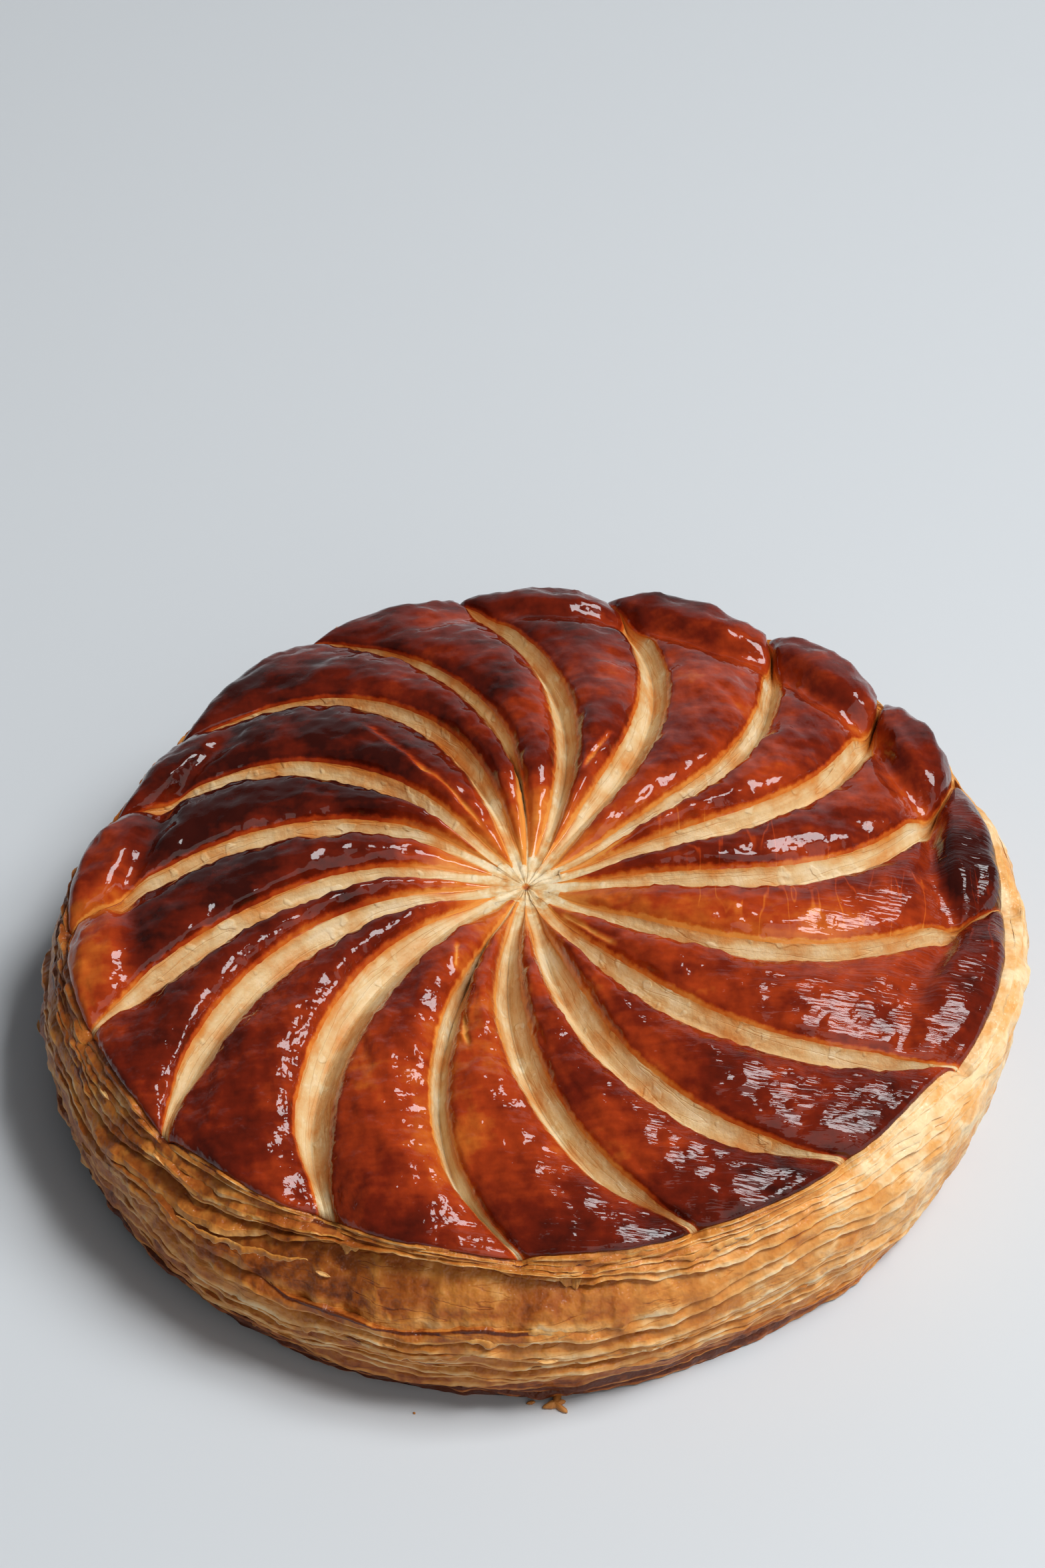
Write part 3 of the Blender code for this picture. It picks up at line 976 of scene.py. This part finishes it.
# %% [markdown]
# ## The side
# The side of a galette is a stack of pastry leaves, some thin as paper and some stuck together.
# Here it has three bands: the fine leaves of the lid, a few thick ones below them, and the fine,
# darker ones of the base. The leaves swell and pinch round the cake but never cross, so their
# heights are running sums of thicknesses that wander. Each leaf slopes out as it goes down, ends
# in a lip and folds back in. At the front left the lid juts out over one broad, smooth leaf, and
# at the right the side has swollen into a pale skin with hardly any lips. Each row of points also
# carries a tone: the lid's leaves are gold and the foot, which met the hot tray, is brown, while
# what lies under the jut is painted tan and the left side darker, as painted shade.

# %% Read the lid's edge
SIDE_COLUMNS = 960
EVEN_SPAN = 8


def rim_edge():
    """The lid's edge at each bearing of the side: how far out it is, and how high."""
    rings, columns = wheel["ring"].shape
    edge = points_of(lid)[(rings - 1) * columns:rings * columns]
    x, y = edge[:, 0] - WHEEL_MIDDLE.x, edge[:, 1] - WHEEL_MIDDLE.y
    bearing = np.arctan2(y, x)
    order = np.argsort(bearing)
    wanted = np.arange(SIDE_COLUMNS) * 2 * np.pi / SIDE_COLUMNS
    reach = np.interp(wanted, bearing[order], np.hypot(x, y)[order], period=2 * np.pi)
    height = np.interp(wanted, bearing[order], edge[order, 2], period=2 * np.pi)
    return wanted, reach, height


def evened(values):
    """Values round the side with their short waves smoothed out."""
    reach = round(EVEN_SPAN / 360 * SIDE_COLUMNS)
    return sum(np.roll(values, shift) for shift in range(-reach, reach + 1)) / (2 * reach + 1)


SIDE_EDGE = rim_edge()
print("the lid's edge is on average", round(float(SIDE_EDGE[1].mean()) / MM, 1), "mm out")

# %% Give each leaf its thickness
JUT_AT = (-105, 25)
TOP_LEAF_SHARE = 0.45
# A band has a number of leaves, how thick they are, how much thicker at the jut, how much that
# wanders round the cake and how often.
Band = namedtuple("Band", "leaves thickness at_jut spread knots")
BANDS = (Band(5, 1.0, -0.68, 0.6, 15), Band(4, 2.5, -0.6, 0.7, 7), Band(10, 1.4, 0.0, 0.8, 13))
FIRST_THICK_LEAF = BANDS[0].leaves
BROAD_LEAF = FIRST_THICK_LEAF + 1
BROAD_AT_JUT = 2.6


def drift(draw, bearing, knots, octaves=3):
    """A smooth random wave round the cake, about 1 high, that closes on itself."""
    total = np.zeros_like(bearing)
    for octave in range(octaves):
        count = knots * 2 ** octave
        values = draw.uniform(-1, 1, count)
        place = bearing / (2 * np.pi) * count
        first = np.floor(place).astype(int)
        share = climb(place - first, 0.0, 1.0)
        total += (values[first % count] * (1 - share) + values[(first + 1) % count] * share) * 0.6 ** octave
    return total


def leaf_thicknesses(draw, bearing):
    """The thickness of each leaf round the cake, from the lid down, as shares of the height."""
    jut = facing(bearing, *JUT_AT)
    rows = []
    for band in BANDS:
        for _ in range(band.leaves):
            at_jut = BROAD_AT_JUT if len(rows) == BROAD_LEAF else band.at_jut
            spread = np.exp(band.spread * drift(draw, bearing, band.knots, 4))
            rows.append(band.thickness * (1 + at_jut * jut) * spread)
    rows[0] = rows[0] * TOP_LEAF_SHARE
    thick = np.array(rows)
    return thick / thick.sum(axis=0)


print("the side has", sum(band.leaves for band in BANDS), "leaves")

# %% Shape the side and say how it bakes
FOOT_RADIUS = 116 * MM
FOOT_SHIFT = (-3.5 * MM, -3 * MM)
FOOT_TUCK = 2.0 * MM
SIDE_BULGE = 6 * MM
BULGE_EXTRA = 4.5 * MM
BULGE_AT = (0, 29)
HOLLOW_AT = (-64, 18)
HOLLOW_DEPTH = 2.4 * MM
SKIN_BULGE_RISE = 0.6
FRONT_BULGE_RISE = 0.95
BACK_BULGE_RISE = 1.3


def side_form(bearing, skin):
    """Where the foot is, how far the side bulges and how high up the bulge sits."""
    hollow = facing(bearing, *HOLLOW_AT)
    body = FOOT_RADIUS + FOOT_SHIFT[0] * np.cos(bearing) + FOOT_SHIFT[1] * np.sin(bearing)
    body = body - rim_flat(bearing) - FOOT_TUCK * hollow
    bulge = SIDE_BULGE + BULGE_EXTRA * facing(bearing, *BULGE_AT) - HOLLOW_DEPTH * hollow
    power = FRONT_BULGE_RISE + (SKIN_BULGE_RISE - FRONT_BULGE_RISE) * skin
    power = power + (BACK_BULGE_RISE - power) * climb(facing(bearing, *BACK_AT), 0.3, 0.8)
    return body, bulge, power


def side_tone(bearing, share, jut, skin):
    """How pale the side is down its height, 0 brown to 1 pale gold; the left and under the jut get painted
    shade.
    """
    # The left side, round bearing 190, is painted darker: painted shade where it faces away from the lights.
    tone = 0.46 - 0.05 * climb(share, 0.35, 0.6) - 0.2 * facing(bearing, 190, 50)
    top = 0.14 * skin * hill(share, 0.06, 0.12) - 0.07 * (1 - skin) * hill(share, 0.04, 0.1)
    foot = 0.66 * climb(share, 0.68, 1.0) * (1 - 0.8 * skin)
    swollen = 0.28 * skin * (1 - 0.4 * hill(share, 0.45, 0.2))
    # Under the jut the leaves are painted tan: painted shade of the jut's overhang.
    return tone + top - 0.22 * jut * hill(share, 0.32, 0.13) - foot + swollen


print("the side bulges by", SIDE_BULGE / MM, "to", (SIDE_BULGE + BULGE_EXTRA) / MM, "mm")

# %% Stack the leaves of the side
SKIN_AT = (-18, 44)
EVEN_SHARE = 0.06
SETTLE_SHARE = 0.3
TUCK = 0.3 * MM
SIDE_HOLLOW = 24 * MM
LEAF_ROWS = ((0.0, 0.0), (0.2, 0.05), (0.42, 0.5), (0.85, 0.93), (1.0, 1.0))
SLOT_LIMIT = 5.5 * MM
JUT_RECESS = 4.6 * MM
LIP_RAG = 1.0 * MM
LEAST_LIP = 0.4 * MM
LARGEST_LIP = 1.9 * MM
TOP_LIP_EXTRA = 0.5 * MM
FULL_LIP = 0.99


def side_rows():
    """The rows of the side from the rim to the foot, each with the values it carries."""
    draw = np.random.RandomState(SEED + 2)
    bearing, edge_reach, edge_height = SIDE_EDGE
    even_reach, even_height = evened(edge_reach), evened(edge_height)
    jut, skin = facing(bearing, *JUT_AT), facing(bearing, *SKIN_AT)
    body, bulge, power = side_form(bearing, skin)
    thick = leaf_thicknesses(draw, bearing)
    tops = np.minimum(np.concatenate((np.zeros((1, SIDE_COLUMNS)), np.cumsum(thick, axis=0))), 1.0)
    none = 0 * bearing
    rows = [(LID_TUCK * edge_reach, none + RIM_HEIGHT - LID_UNDERSIDE, none, none, none, skin, none)]
    rows.append((edge_reach - TUCK, edge_height - TUCK, none, none + 0.5, none + 0.5, skin, none))
    for leaf, thickness in enumerate(thick):
        paler = 0.09 * drift(draw, bearing, 6, 5)
        strength = np.clip(0.75 + 0.9 * drift(draw, bearing, 14, 4), 0.03, 2.0) * (1 - 0.8 * skin)
        lip = np.minimum(LEAST_LIP + 0.5 * thickness * RIM_HEIGHT, LARGEST_LIP) * strength
        lip = lip + TOP_LIP_EXTRA * (leaf == 0)
        ragged = drift(draw, bearing, 110, 3) * (1 - 0.6 * skin)
        under_jut = jut * (leaf in (FIRST_THICK_LEAF, BROAD_LEAF))
        for place, out in LEAF_ROWS:
            slot = np.minimum(place, place * SLOT_LIMIT / (thickness * RIM_HEIGHT)) if out < 0.9 else place
            share = np.minimum(tops[leaf] + thickness * slot, 1.0)
            even = climb(share, 0.0, EVEN_SHARE)
            settle = climb(share, 0.0, SETTLE_SHARE)
            swell = np.maximum(np.sin(np.pi * share ** power), 0.0) ** 0.8
            rag = LIP_RAG * ragged * out ** 3 * np.clip(1.5 * lip / MM, 0.15, 1.0)
            reach = edge_reach + (even_reach - edge_reach) * even
            reach = reach + (body - reach) * settle + bulge * swell
            reach = reach + lip * (1.6 * out - 1.3) + 0.5 * rag - JUT_RECESS * under_jut * (1 - 0.45 * out)
            top = edge_height + (even_height - edge_height) * even
            top = top + (RIM_HEIGHT - top) * settle
            height = top * (1 - share) - 0.35 * lip * (out > FULL_LIP) + rag * (1 - share)
            tone = side_tone(bearing, share, jut, skin) + paler
            rows.append((reach, height, share, none + out, tone, skin, 0.25 + 0.75 * under_jut))
    rows.append((body, none, none + 1, none, none + 0.1, skin, none))
    return bearing, rows


def round_the_middle(reach, bearing, height):
    """Points at a reach and a bearing from the middle of the rim."""
    x = reach * np.cos(bearing) + WHEEL_MIDDLE.x
    y = reach * np.sin(bearing) + WHEEL_MIDDLE.y
    return np.stack((x, y, height), axis=-1)


def side_object():
    """The side as a mesh, closed inside by a cone and below by a flat bottom."""
    bearing, rows = side_rows()
    reach, height, *carried_values = (np.array(values) for values in zip(*rows))
    points = round_the_middle(reach, bearing, np.maximum(height, 0.0)).reshape(-1, 3)
    closing = [(WHEEL_MIDDLE.x, WHEEL_MIDDLE.y, z) for z in (RIM_HEIGHT - SIDE_HOLLOW, 0.0)]
    names = ("level", "lip", "tone", "skin", "fold")
    values = {name: np.append(value, (0.0, 1.0)) for name, value in zip(names, carried_values)}
    faces = closed_skin(len(rows), SIDE_COLUMNS)
    return grid_object("leaf_stack", np.concatenate((points, closing)), faces, values)


stack = side_object()
print("the stack has", len(stack.data.vertices), "points")

# %% Mix the flaky pastry
LEAF_TONES = (
    (0.0, (0.12, 0.022, 0.004)),
    (0.2, (0.37, 0.092, 0.012)),
    (0.45, (0.61, 0.225, 0.038)),
    (0.7, (0.75, 0.37, 0.11)),
    (1.0, (0.84, 0.61, 0.34)),
)
LEAF_BUMP = 0.3 * MM
DULL_SHINE = {"Specular_IOR_Level": 0.15, "Coat_Weight": 0.35, "Coat_Roughness": 0.16}


def make_leaf_pastry():
    """Golden pastry with a dull shine: pale lips with painted highlight, folds darker with painted shade,
    and blotchy.
    """
    material, tree, shader = new_material("flaky_pastry", 0.45, **DULL_SHINE, **GLOW)
    place = own_place(tree)
    x, y, _ = split_xyz(place)
    level, lip, skin = (carried(tree, name) for name in ("level", "lip", "skin"))
    upright = streaks(x * 260, y * 260, level * 12, 2)
    blots = grain(place, 75, 3)
    pits = grain(place, 420, 2)
    flecks = soft_step(grain(place, 150, 2), 0.16, 0.4)
    scorched = soft_step(grain(place, 110, 2) * -1, 0.26, 0.48)
    leafy = 1 - soft_step(skin, 0.3, 0.8)
    strata = abs(streaks(x * 34, y * 34, level * 13, 3))
    seams = (1 - soft_step(strata, 0.0, SEAM_WIDTH)) * soft_step(blots, -0.15, 0.15)
    # Paler at the lips: partly paler torn pastry, partly painted highlight where the edges catch the light.
    edges = soft_step(lip, 0.88, 1.0) * (0.08 + 0.3 * leafy) * soft_step(blots, -0.4, 0.1)
    # Darker where each lip folds back in: partly browner pastry, partly painted shade in the gaps between
    # leaves.
    folds = (1 - soft_step(lip, 0.0, 0.4)) * leafy
    swollen = soft_step(grain(place, 60, 1), 0.06, 0.2) * (1 - leafy)
    tone = carried(tree, "tone") + edges - folds * 0.4 + blots * 0.32 + pits * 0.2 + upright * 0.12
    tone = tone + flecks * 0.16 - scorched * 0.1 + swollen * 0.2 - seams * 0.14
    paint(shader, tone, LEAF_TONES)
    add_bump(shader, pits + flecks * 0.4 + upright * 0.4 - seams * 0.3, LEAF_BUMP)
    fine = grain(place, 900, 1)
    add_bump(shader, pits * 0.6 + fine * 0.4 + upright * 0.4, EGG_BUMP, layer="Coat Normal")
    return material


leaf_pastry = make_leaf_pastry()
print("mixed", leaf_pastry.name)

# %% Roughen the leaves
SIDE_SIZES = {
    "Wave Height": 1.5 * MM,
    "Fold Height": 2.6 * MM,
    "Lump Height": 0.7 * MM,
    "Blister Height": 1.3 * MM,
    "Seed": 5,
}
LIP_ANGLE = math.radians(38)


def roughen_side_tree(material):
    """Pushes the leaves in and out: long waves, soft upright folds, lumps and blisters."""
    tree, mesh, size = new_tree("roughen_side", SIDE_SIZES)
    place = result(tree, "GeometryNodeInputPosition")
    x, y, _ = split_xyz(place)
    level, lip, skin, fold = on_mesh(tree, "level", "lip", "skin", "fold")
    waves = size["Wave Height"] * streaks(x * 36, y * 36, level * 9 + size["Seed"], 2)
    folds = size["Fold Height"] * streaks(x * 150, y * 150, level * 5, 2) * fold
    lumps = size["Lump Height"] * grain(place, 230, 2)
    blisters = size["Blister Height"] * grain(place, 110, 1) * skin
    inner = soft_step(level, 0.0, 0.06) * (1 - soft_step(level, 0.97, 1.0))
    out = (waves * (1 - skin * 0.5) + folds + lumps * (0.5 + lip * 0.5) + blisters) * inner
    length = maths("SQRT", x * x + y * y)
    rough = moved(mesh, join_xyz(x / length * out, y / length * out, 0))
    return finish_tree(rough, ((material, 1),))


side = run_tree(stack, roughen_side_tree(leaf_pastry), SIDE_SIZES, "flaky_side")
side.data.set_sharp_from_angle(angle=LIP_ANGLE)

# %% [markdown]
# ## Loose flakes on the side
# Where leaves tore, slivers of pastry stick out from the side and droop. They are one small
# curled sheet, made as a thin closed strip and scattered on the lips of the leaves. Each copy
# gets its own length, droop and tone from a fixed seed. Geometry Nodes suit this well, because
# the flakes then follow the side whatever its shape.

# %% Make one flake
FLAKE_SIZES = {
    "Count Each Square Metre": 1800.0,
    "Length": 3 * MM,
    "Width": 1.1 * MM,
    "Thickness": 0.16 * MM,
    "Curl": 0.5 * MM,
    "Steps Along": 14,
    "Steps Across": 4,
    "Seed": 11,
}
MERGE_DISTANCE = 0.02 * MM


def flake_sheet(tree, size):
    """One thin, curled strip, closed all round: a bent grid, its back and its rim."""
    width, length = size["Width"], size["Length"]
    steps = {"Vertices_X": size["Steps Along"], "Vertices_Y": size["Steps Across"]}
    grid = result(tree, "GeometryNodeMeshGrid", Size_X=length, Size_Y=width, **steps)
    place = result(tree, "GeometryNodeInputPosition")
    x, y, _ = split_xyz(place)
    taper = (x / length * 2) ** 2 * y * -0.85
    curl = size["Curl"] * (grain(place, 420, 1) + (y / width) ** 2 * 2)
    ragged = 0.35 * width * streaks(x * 900, 0, 3, 2)
    sheet = moved(grid, join_xyz(0, taper + ragged * (0.5 - y / width), curl))
    thickness = {"Offset_Scale": size["Thickness"], "Individual": False}
    both = add_node(tree, "GeometryNodeJoinGeometry")
    feed(result(tree, "GeometryNodeExtrudeMesh", Mesh=sheet, **thickness), both.inputs["Geometry"])
    feed(result(tree, "GeometryNodeFlipFaces", Mesh=sheet), both.inputs["Geometry"])
    shell = Field(tree, both.outputs["Geometry"])
    return result(tree, "GeometryNodeMergeByDistance", Geometry=shell, Distance=MERGE_DISTANCE)


print("a flake is", FLAKE_SIZES["Length"] / MM, "mm long before it is scaled")

# %% Scatter the flakes
FLAKE_TONES = ((0.0, (0.50, 0.19, 0.04)), (0.5, (0.78, 0.40, 0.12)), (1.0, (0.90, 0.62, 0.28)))
SMALLEST_FLAKE = (0.35, 0.5, 0.6)
LARGEST_FLAKE = (2.2, 1.3, 1.4)


def random_value(low, high, seed):
    """A random number, or a random vector where low and high are vectors."""
    node = seed.tree.nodes.new("FunctionNodeRandomValue")
    node.data_type = "FLOAT_VECTOR" if isinstance(low, tuple) else "FLOAT"
    live = [socket for socket in node.inputs if socket.enabled]
    for value, socket in zip((low, high), live):
        feed(value, socket)
    feed(seed, node.inputs["Seed"])
    return Field(seed.tree, next(socket for socket in node.outputs if socket.enabled))


def scatter_flakes_tree(material):
    """Puts flakes on the lips of the side, along the leaves and drooping a little."""
    tree, mesh, size = new_tree("scatter_flakes", FLAKE_SIZES)
    seed = size["Seed"]
    lip, level, skin = on_mesh(tree, "lip", "level", "skin")
    at_lip = maths("GREATER_THAN", lip, 0.6) * maths("LESS_THAN", level, 0.93)
    at_lip = at_lip * maths("GREATER_THAN", level, 0.03) * (1 - skin * 0.85)
    many = {"Density": size["Count Each Square Metre"] * at_lip, "Seed": seed}
    spots = result(tree, "GeometryNodeDistributePointsOnFaces", Mesh=mesh, **many)
    x, y, _ = split_xyz(result(tree, "GeometryNodeInputPosition"))
    around = maths("ARCTAN2", y, x) + math.pi / 2
    droop = random_value(-0.2, 0.9, seed)
    sway = random_value(-0.09, 0.09, seed + 1)
    flake = {
        "Instance": flake_sheet(tree, size),
        "Rotation": result(tree, "FunctionNodeEulerToRotation", Euler=join_xyz(droop, sway, around)),
        "Scale": random_value(SMALLEST_FLAKE, LARGEST_FLAKE, seed + 2),
    }
    copies = result(tree, "GeometryNodeInstanceOnPoints", Points=spots, **flake)
    toned = {"Name": "tone", "Value": random_value(0.0, 1.0, seed + 3)}
    store = add_node(tree, "GeometryNodeStoreNamedAttribute", Geometry=copies, **toned)
    store.domain = "INSTANCE"
    return finish_tree(Field(tree, store.outputs["Geometry"]), ((material, 1),))


def make_flake_pastry():
    """Thin, toasted slivers: each its own shade from pale gold to brown."""
    material, tree, shader = new_material("loose_flakes", 0.5, Specular_IOR_Level=0.4)
    paint(shader, carried(tree, "tone") * 0.8 + grain(own_place(tree), 400, 2) * 0.3, FLAKE_TONES)
    return material


flake_pastry = make_flake_pastry()
flake_base = add_object("flake_base", side.data.copy())
flakes = run_tree(flake_base, scatter_flakes_tree(flake_pastry), FLAKE_SIZES, "loose_flakes")

# %% [markdown]
# ## Torn leaves
# In some places a whole stretch of a leaf tore and hangs off the side like a ragged curtain. Each
# is listed in a table: where it is, how long and deep it is, how far it stands out and how pale it
# is. The sheet is a small grid of points whose free edge is a wave, and its back is the same grid
# set in by the leaf's thickness, so that the piece is closed.

# %% The table of the torn leaves
Torn = namedtuple("Torn", "bearing level length drop out tone")
TORN_IN_MM = (
    (-124, 0.34, 34, 1.4, 0.8, 0.55),
    (-116, 0.47, 42, 1.6, 1.0, 0.8),
    (-112, 0.30, 7, 2.6, 1.6, 0.9),
    (-102, 0.53, 36, 1.5, 1.0, 0.7),
    (-102, 0.06, 8, 2.6, 1.2, 0.1),
    (-93, 0.43, 28, 1.3, 0.8, 0.8),
    (-85, 0.37, 34, 1.8, 0.9, 0.7),
    (-86.5, 0.30, 6, 2.0, 1.4, 1.0),
    (-76, 0.56, 40, 1.3, 0.9, 0.6),
    (-69, 0.22, 26, 1.6, 0.7, 0.9),
    (-60, 0.61, 36, 1.2, 0.8, 0.7),
    (-140, 0.42, 36, 1.6, 0.9, 0.5),
    (-152, 0.60, 38, 1.4, 0.9, 0.4),
    (170, 0.35, 36, 1.6, 0.9, 0.5),
    (60, 0.50, 38, 1.4, 0.9, 0.6),
    (110, 0.40, 44, 1.6, 1.0, 0.5),
)
TORN_LEAVES = [
    Torn(bearing, level, length * MM, drop * MM, out * MM, tone)
    for bearing, level, length, drop, out, tone in TORN_IN_MM
]
lengths = [torn.length / MM for torn in TORN_LEAVES]
print(len(TORN_LEAVES), "torn leaves, from", min(lengths), "to", max(lengths), "mm long")

# %% Hang the torn leaves
TORN_STEPS = 56
TORN_ROWS = 6
TORN_WAVE = 19 * MM
TORN_LIFT = 0.3 * MM
TORN_INSET = 0.9 * MM
TORN_HANG = 0.5 * MM
LEAST_HEIGHT = 0.1 * MM
LEAF_THICKNESS = 0.22 * MM
TORN_SEED = 29
TORN_TONE = 0.45
TORN_TONE_SPREAD = 0.3


def hung_at(grid, bearing, level):
    """How far out and how high the side is at bearings in radians, at one level."""
    columns = np.round(bearing / (2 * np.pi) * SIDE_COLUMNS).astype(int) % SIDE_COLUMNS
    row = round(1 + level * (len(grid) - 3))
    x, y = grid[:, columns, 0] - WHEEL_MIDDLE.x, grid[:, columns, 1] - WHEEL_MIDDLE.y
    nearby = slice(max(row - 3, 1), row + 4)
    return np.hypot(x, y)[nearby].max(axis=0), grid[row, columns, 2]


def torn_leaf(torn, grid, draw):
    """The points of one torn leaf, front then back, as two grids."""
    along = np.linspace(-1, 1, TORN_STEPS)
    across = np.linspace(0, 1, TORN_ROWS)
    bearing = math.radians(torn.bearing) + along * torn.length / 2 / RIM_RADIUS
    reach, height = hung_at(grid, bearing, torn.level)
    place = along * torn.length / 2 / TORN_WAVE
    edge = (1 - np.abs(along) ** 2.5) * (1 + 0.3 * wobble(draw, place, (1, 2, 3, 5, 8)))
    lift = TORN_LIFT * wobble(draw, place, (1, 3, 5))
    down = height[:, None] + TORN_HANG - torn.drop * across ** 1.3 * edge[:, None]
    sheets = []
    for back in (0.0, LEAF_THICKNESS):
        out = reach[:, None] - TORN_INSET - back + (torn.out + lift)[:, None] * across ** 0.7 * edge[:, None]
        sheets.append(round_the_middle(out, bearing[:, None], np.maximum(down, LEAST_HEIGHT)))
    return sheets


def closed_sheet(steps, rows, first):
    """The faces of a sheet made of a front grid and a back grid that are stored from index first."""
    size = steps * rows
    place = (np.arange(size) + first).reshape(steps, rows).tolist()
    faces = []
    for near, far in zip(place, place[1:]):
        for a, b, c, d in zip(near, far, far[1:], near[1:]):
            faces += [(a, d, c, b), (a + size, b + size, c + size, d + size)]
    start, end = place[0], place[-1]
    rim = [row[0] for row in place] + end[1:] + [row[-1] for row in place[-2::-1]] + start[-2:0:-1]
    for here, beyond in zip(rim, rim[1:] + rim[:1]):
        faces.append((here, beyond, beyond + size, here + size))
    return faces


def torn_object():
    """All the torn leaves as one piece."""
    draw = np.random.RandomState(TORN_SEED)
    grid = points_of(side)[:-2].reshape(-1, SIDE_COLUMNS, 3)
    points, faces, values = [], [], []
    for torn in TORN_LEAVES:
        faces += closed_sheet(TORN_STEPS, TORN_ROWS, sum(map(len, points)))
        points += [sheet.reshape(-1, 3) for sheet in torn_leaf(torn, grid, draw)]
        lip = np.tile(0.4 + 0.6 * np.linspace(0, 1, TORN_ROWS) ** 2, 2 * TORN_STEPS)
        tone = TORN_TONE + TORN_TONE_SPREAD * (torn.tone - 0.5)
        values.append(np.stack((tone + 0 * lip, lip, torn.level + 0 * lip, 0 * lip)))
    values = dict(zip(("tone", "lip", "level", "skin"), np.concatenate(values, axis=1)))
    piece = grid_object("torn_leaves", np.concatenate(points), faces, values)
    piece.data.materials.append(leaf_pastry)
    return piece


torn_leaves = torn_object()
print("they have", len(torn_leaves.data.polygons), "faces")

# %% [markdown]
# ## Crumbs on the table
# A flake with prongs broke off and lies at the front foot, and there are two specks to its left.
# A crumb is a flat lump with a star-like outline: its edge is a base circle plus a few hills, and
# its top is a shallow dome, so a short rule and a row of numbers make each one. Each prong has a
# bearing, a length for the rule to scale by the radius, and a span.

# %% Drop the crumbs
Crumb = namedtuple("Crumb", "x y radius thickness prongs")
PRONGED = ((75, 3.0, 24), (196, 1.8, 22), (322, 2.2, 18), (20, 1.2, 16))
CRUMBS = (
    Crumb(4.9 * MM, -119.2 * MM, 2.0 * MM, 1.5 * MM, PRONGED),
    Crumb(-0.8 * MM, -118.6 * MM, 0.8 * MM, 0.7 * MM, ((20, 1.2, 30), (190, 1.5, 24))),
    Crumb(-28.3 * MM, -121.5 * MM, 0.45 * MM, 0.4 * MM, ((140, 0.6, 40),)),
)
CRUMB_SPOKES = 36
CRUMB_RINGS = ((0.8, 0.0), (1.0, 0.25), (0.92, 0.6), (0.65, 0.9), (0.35, 1.0))


def crumb_points(crumb):
    """Rings of points from the underside's edge up to the top of one crumb, then its two ends."""
    spokes = np.arange(CRUMB_SPOKES) * 2 * np.pi / CRUMB_SPOKES
    reach = np.ones(CRUMB_SPOKES)
    for towards, extra, span in crumb.prongs:
        reach = reach + extra * facing(spokes, towards, span)
    reach = crumb.radius * (reach * 0.6 + 0.1 * np.sin(5 * spokes) + 0.06 * np.sin(11 * spokes + 1))
    rings = []
    for share, height in CRUMB_RINGS:
        x, y = crumb.x + share * reach * np.cos(spokes), crumb.y + share * reach * np.sin(spokes)
        bumps = 1 + 0.15 * np.sin(3 * spokes + 9 * share)
        rings.append(np.stack((x, y, crumb.thickness * height * bumps), axis=-1))
    return np.concatenate((*rings, [(crumb.x, crumb.y, 0.0), (crumb.x, crumb.y, crumb.thickness)]))


def crumbs_object():
    """All the crumbs as one piece. Their rings go upwards, so the faces are turned round."""
    points, faces = [], []
    for crumb in CRUMBS:
        first = sum(map(len, points))
        points.append(crumb_points(crumb))
        for face in closed_skin(len(CRUMB_RINGS), CRUMB_SPOKES):
            faces.append([corner + first for corner in reversed(face)])
    points = np.concatenate(points)
    piece = grid_object("crumbs", points, faces, {"tone": np.zeros(len(points))})
    piece.data.materials.append(flake_pastry)
    return piece


crumbs = crumbs_object()
print(len(CRUMBS), "crumbs lie on the table")

# %% [markdown]
# ## The pieces and the body
# Each piece rides on the cake's one body, and the lid and the side together stand for the solid,
# whose imported part is hidden.

# %% Ride and replace
for piece in (lid, side, flakes, torn_leaves, crumbs):
    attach(piece, "root")
for piece in (lid, side):
    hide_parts("galette")
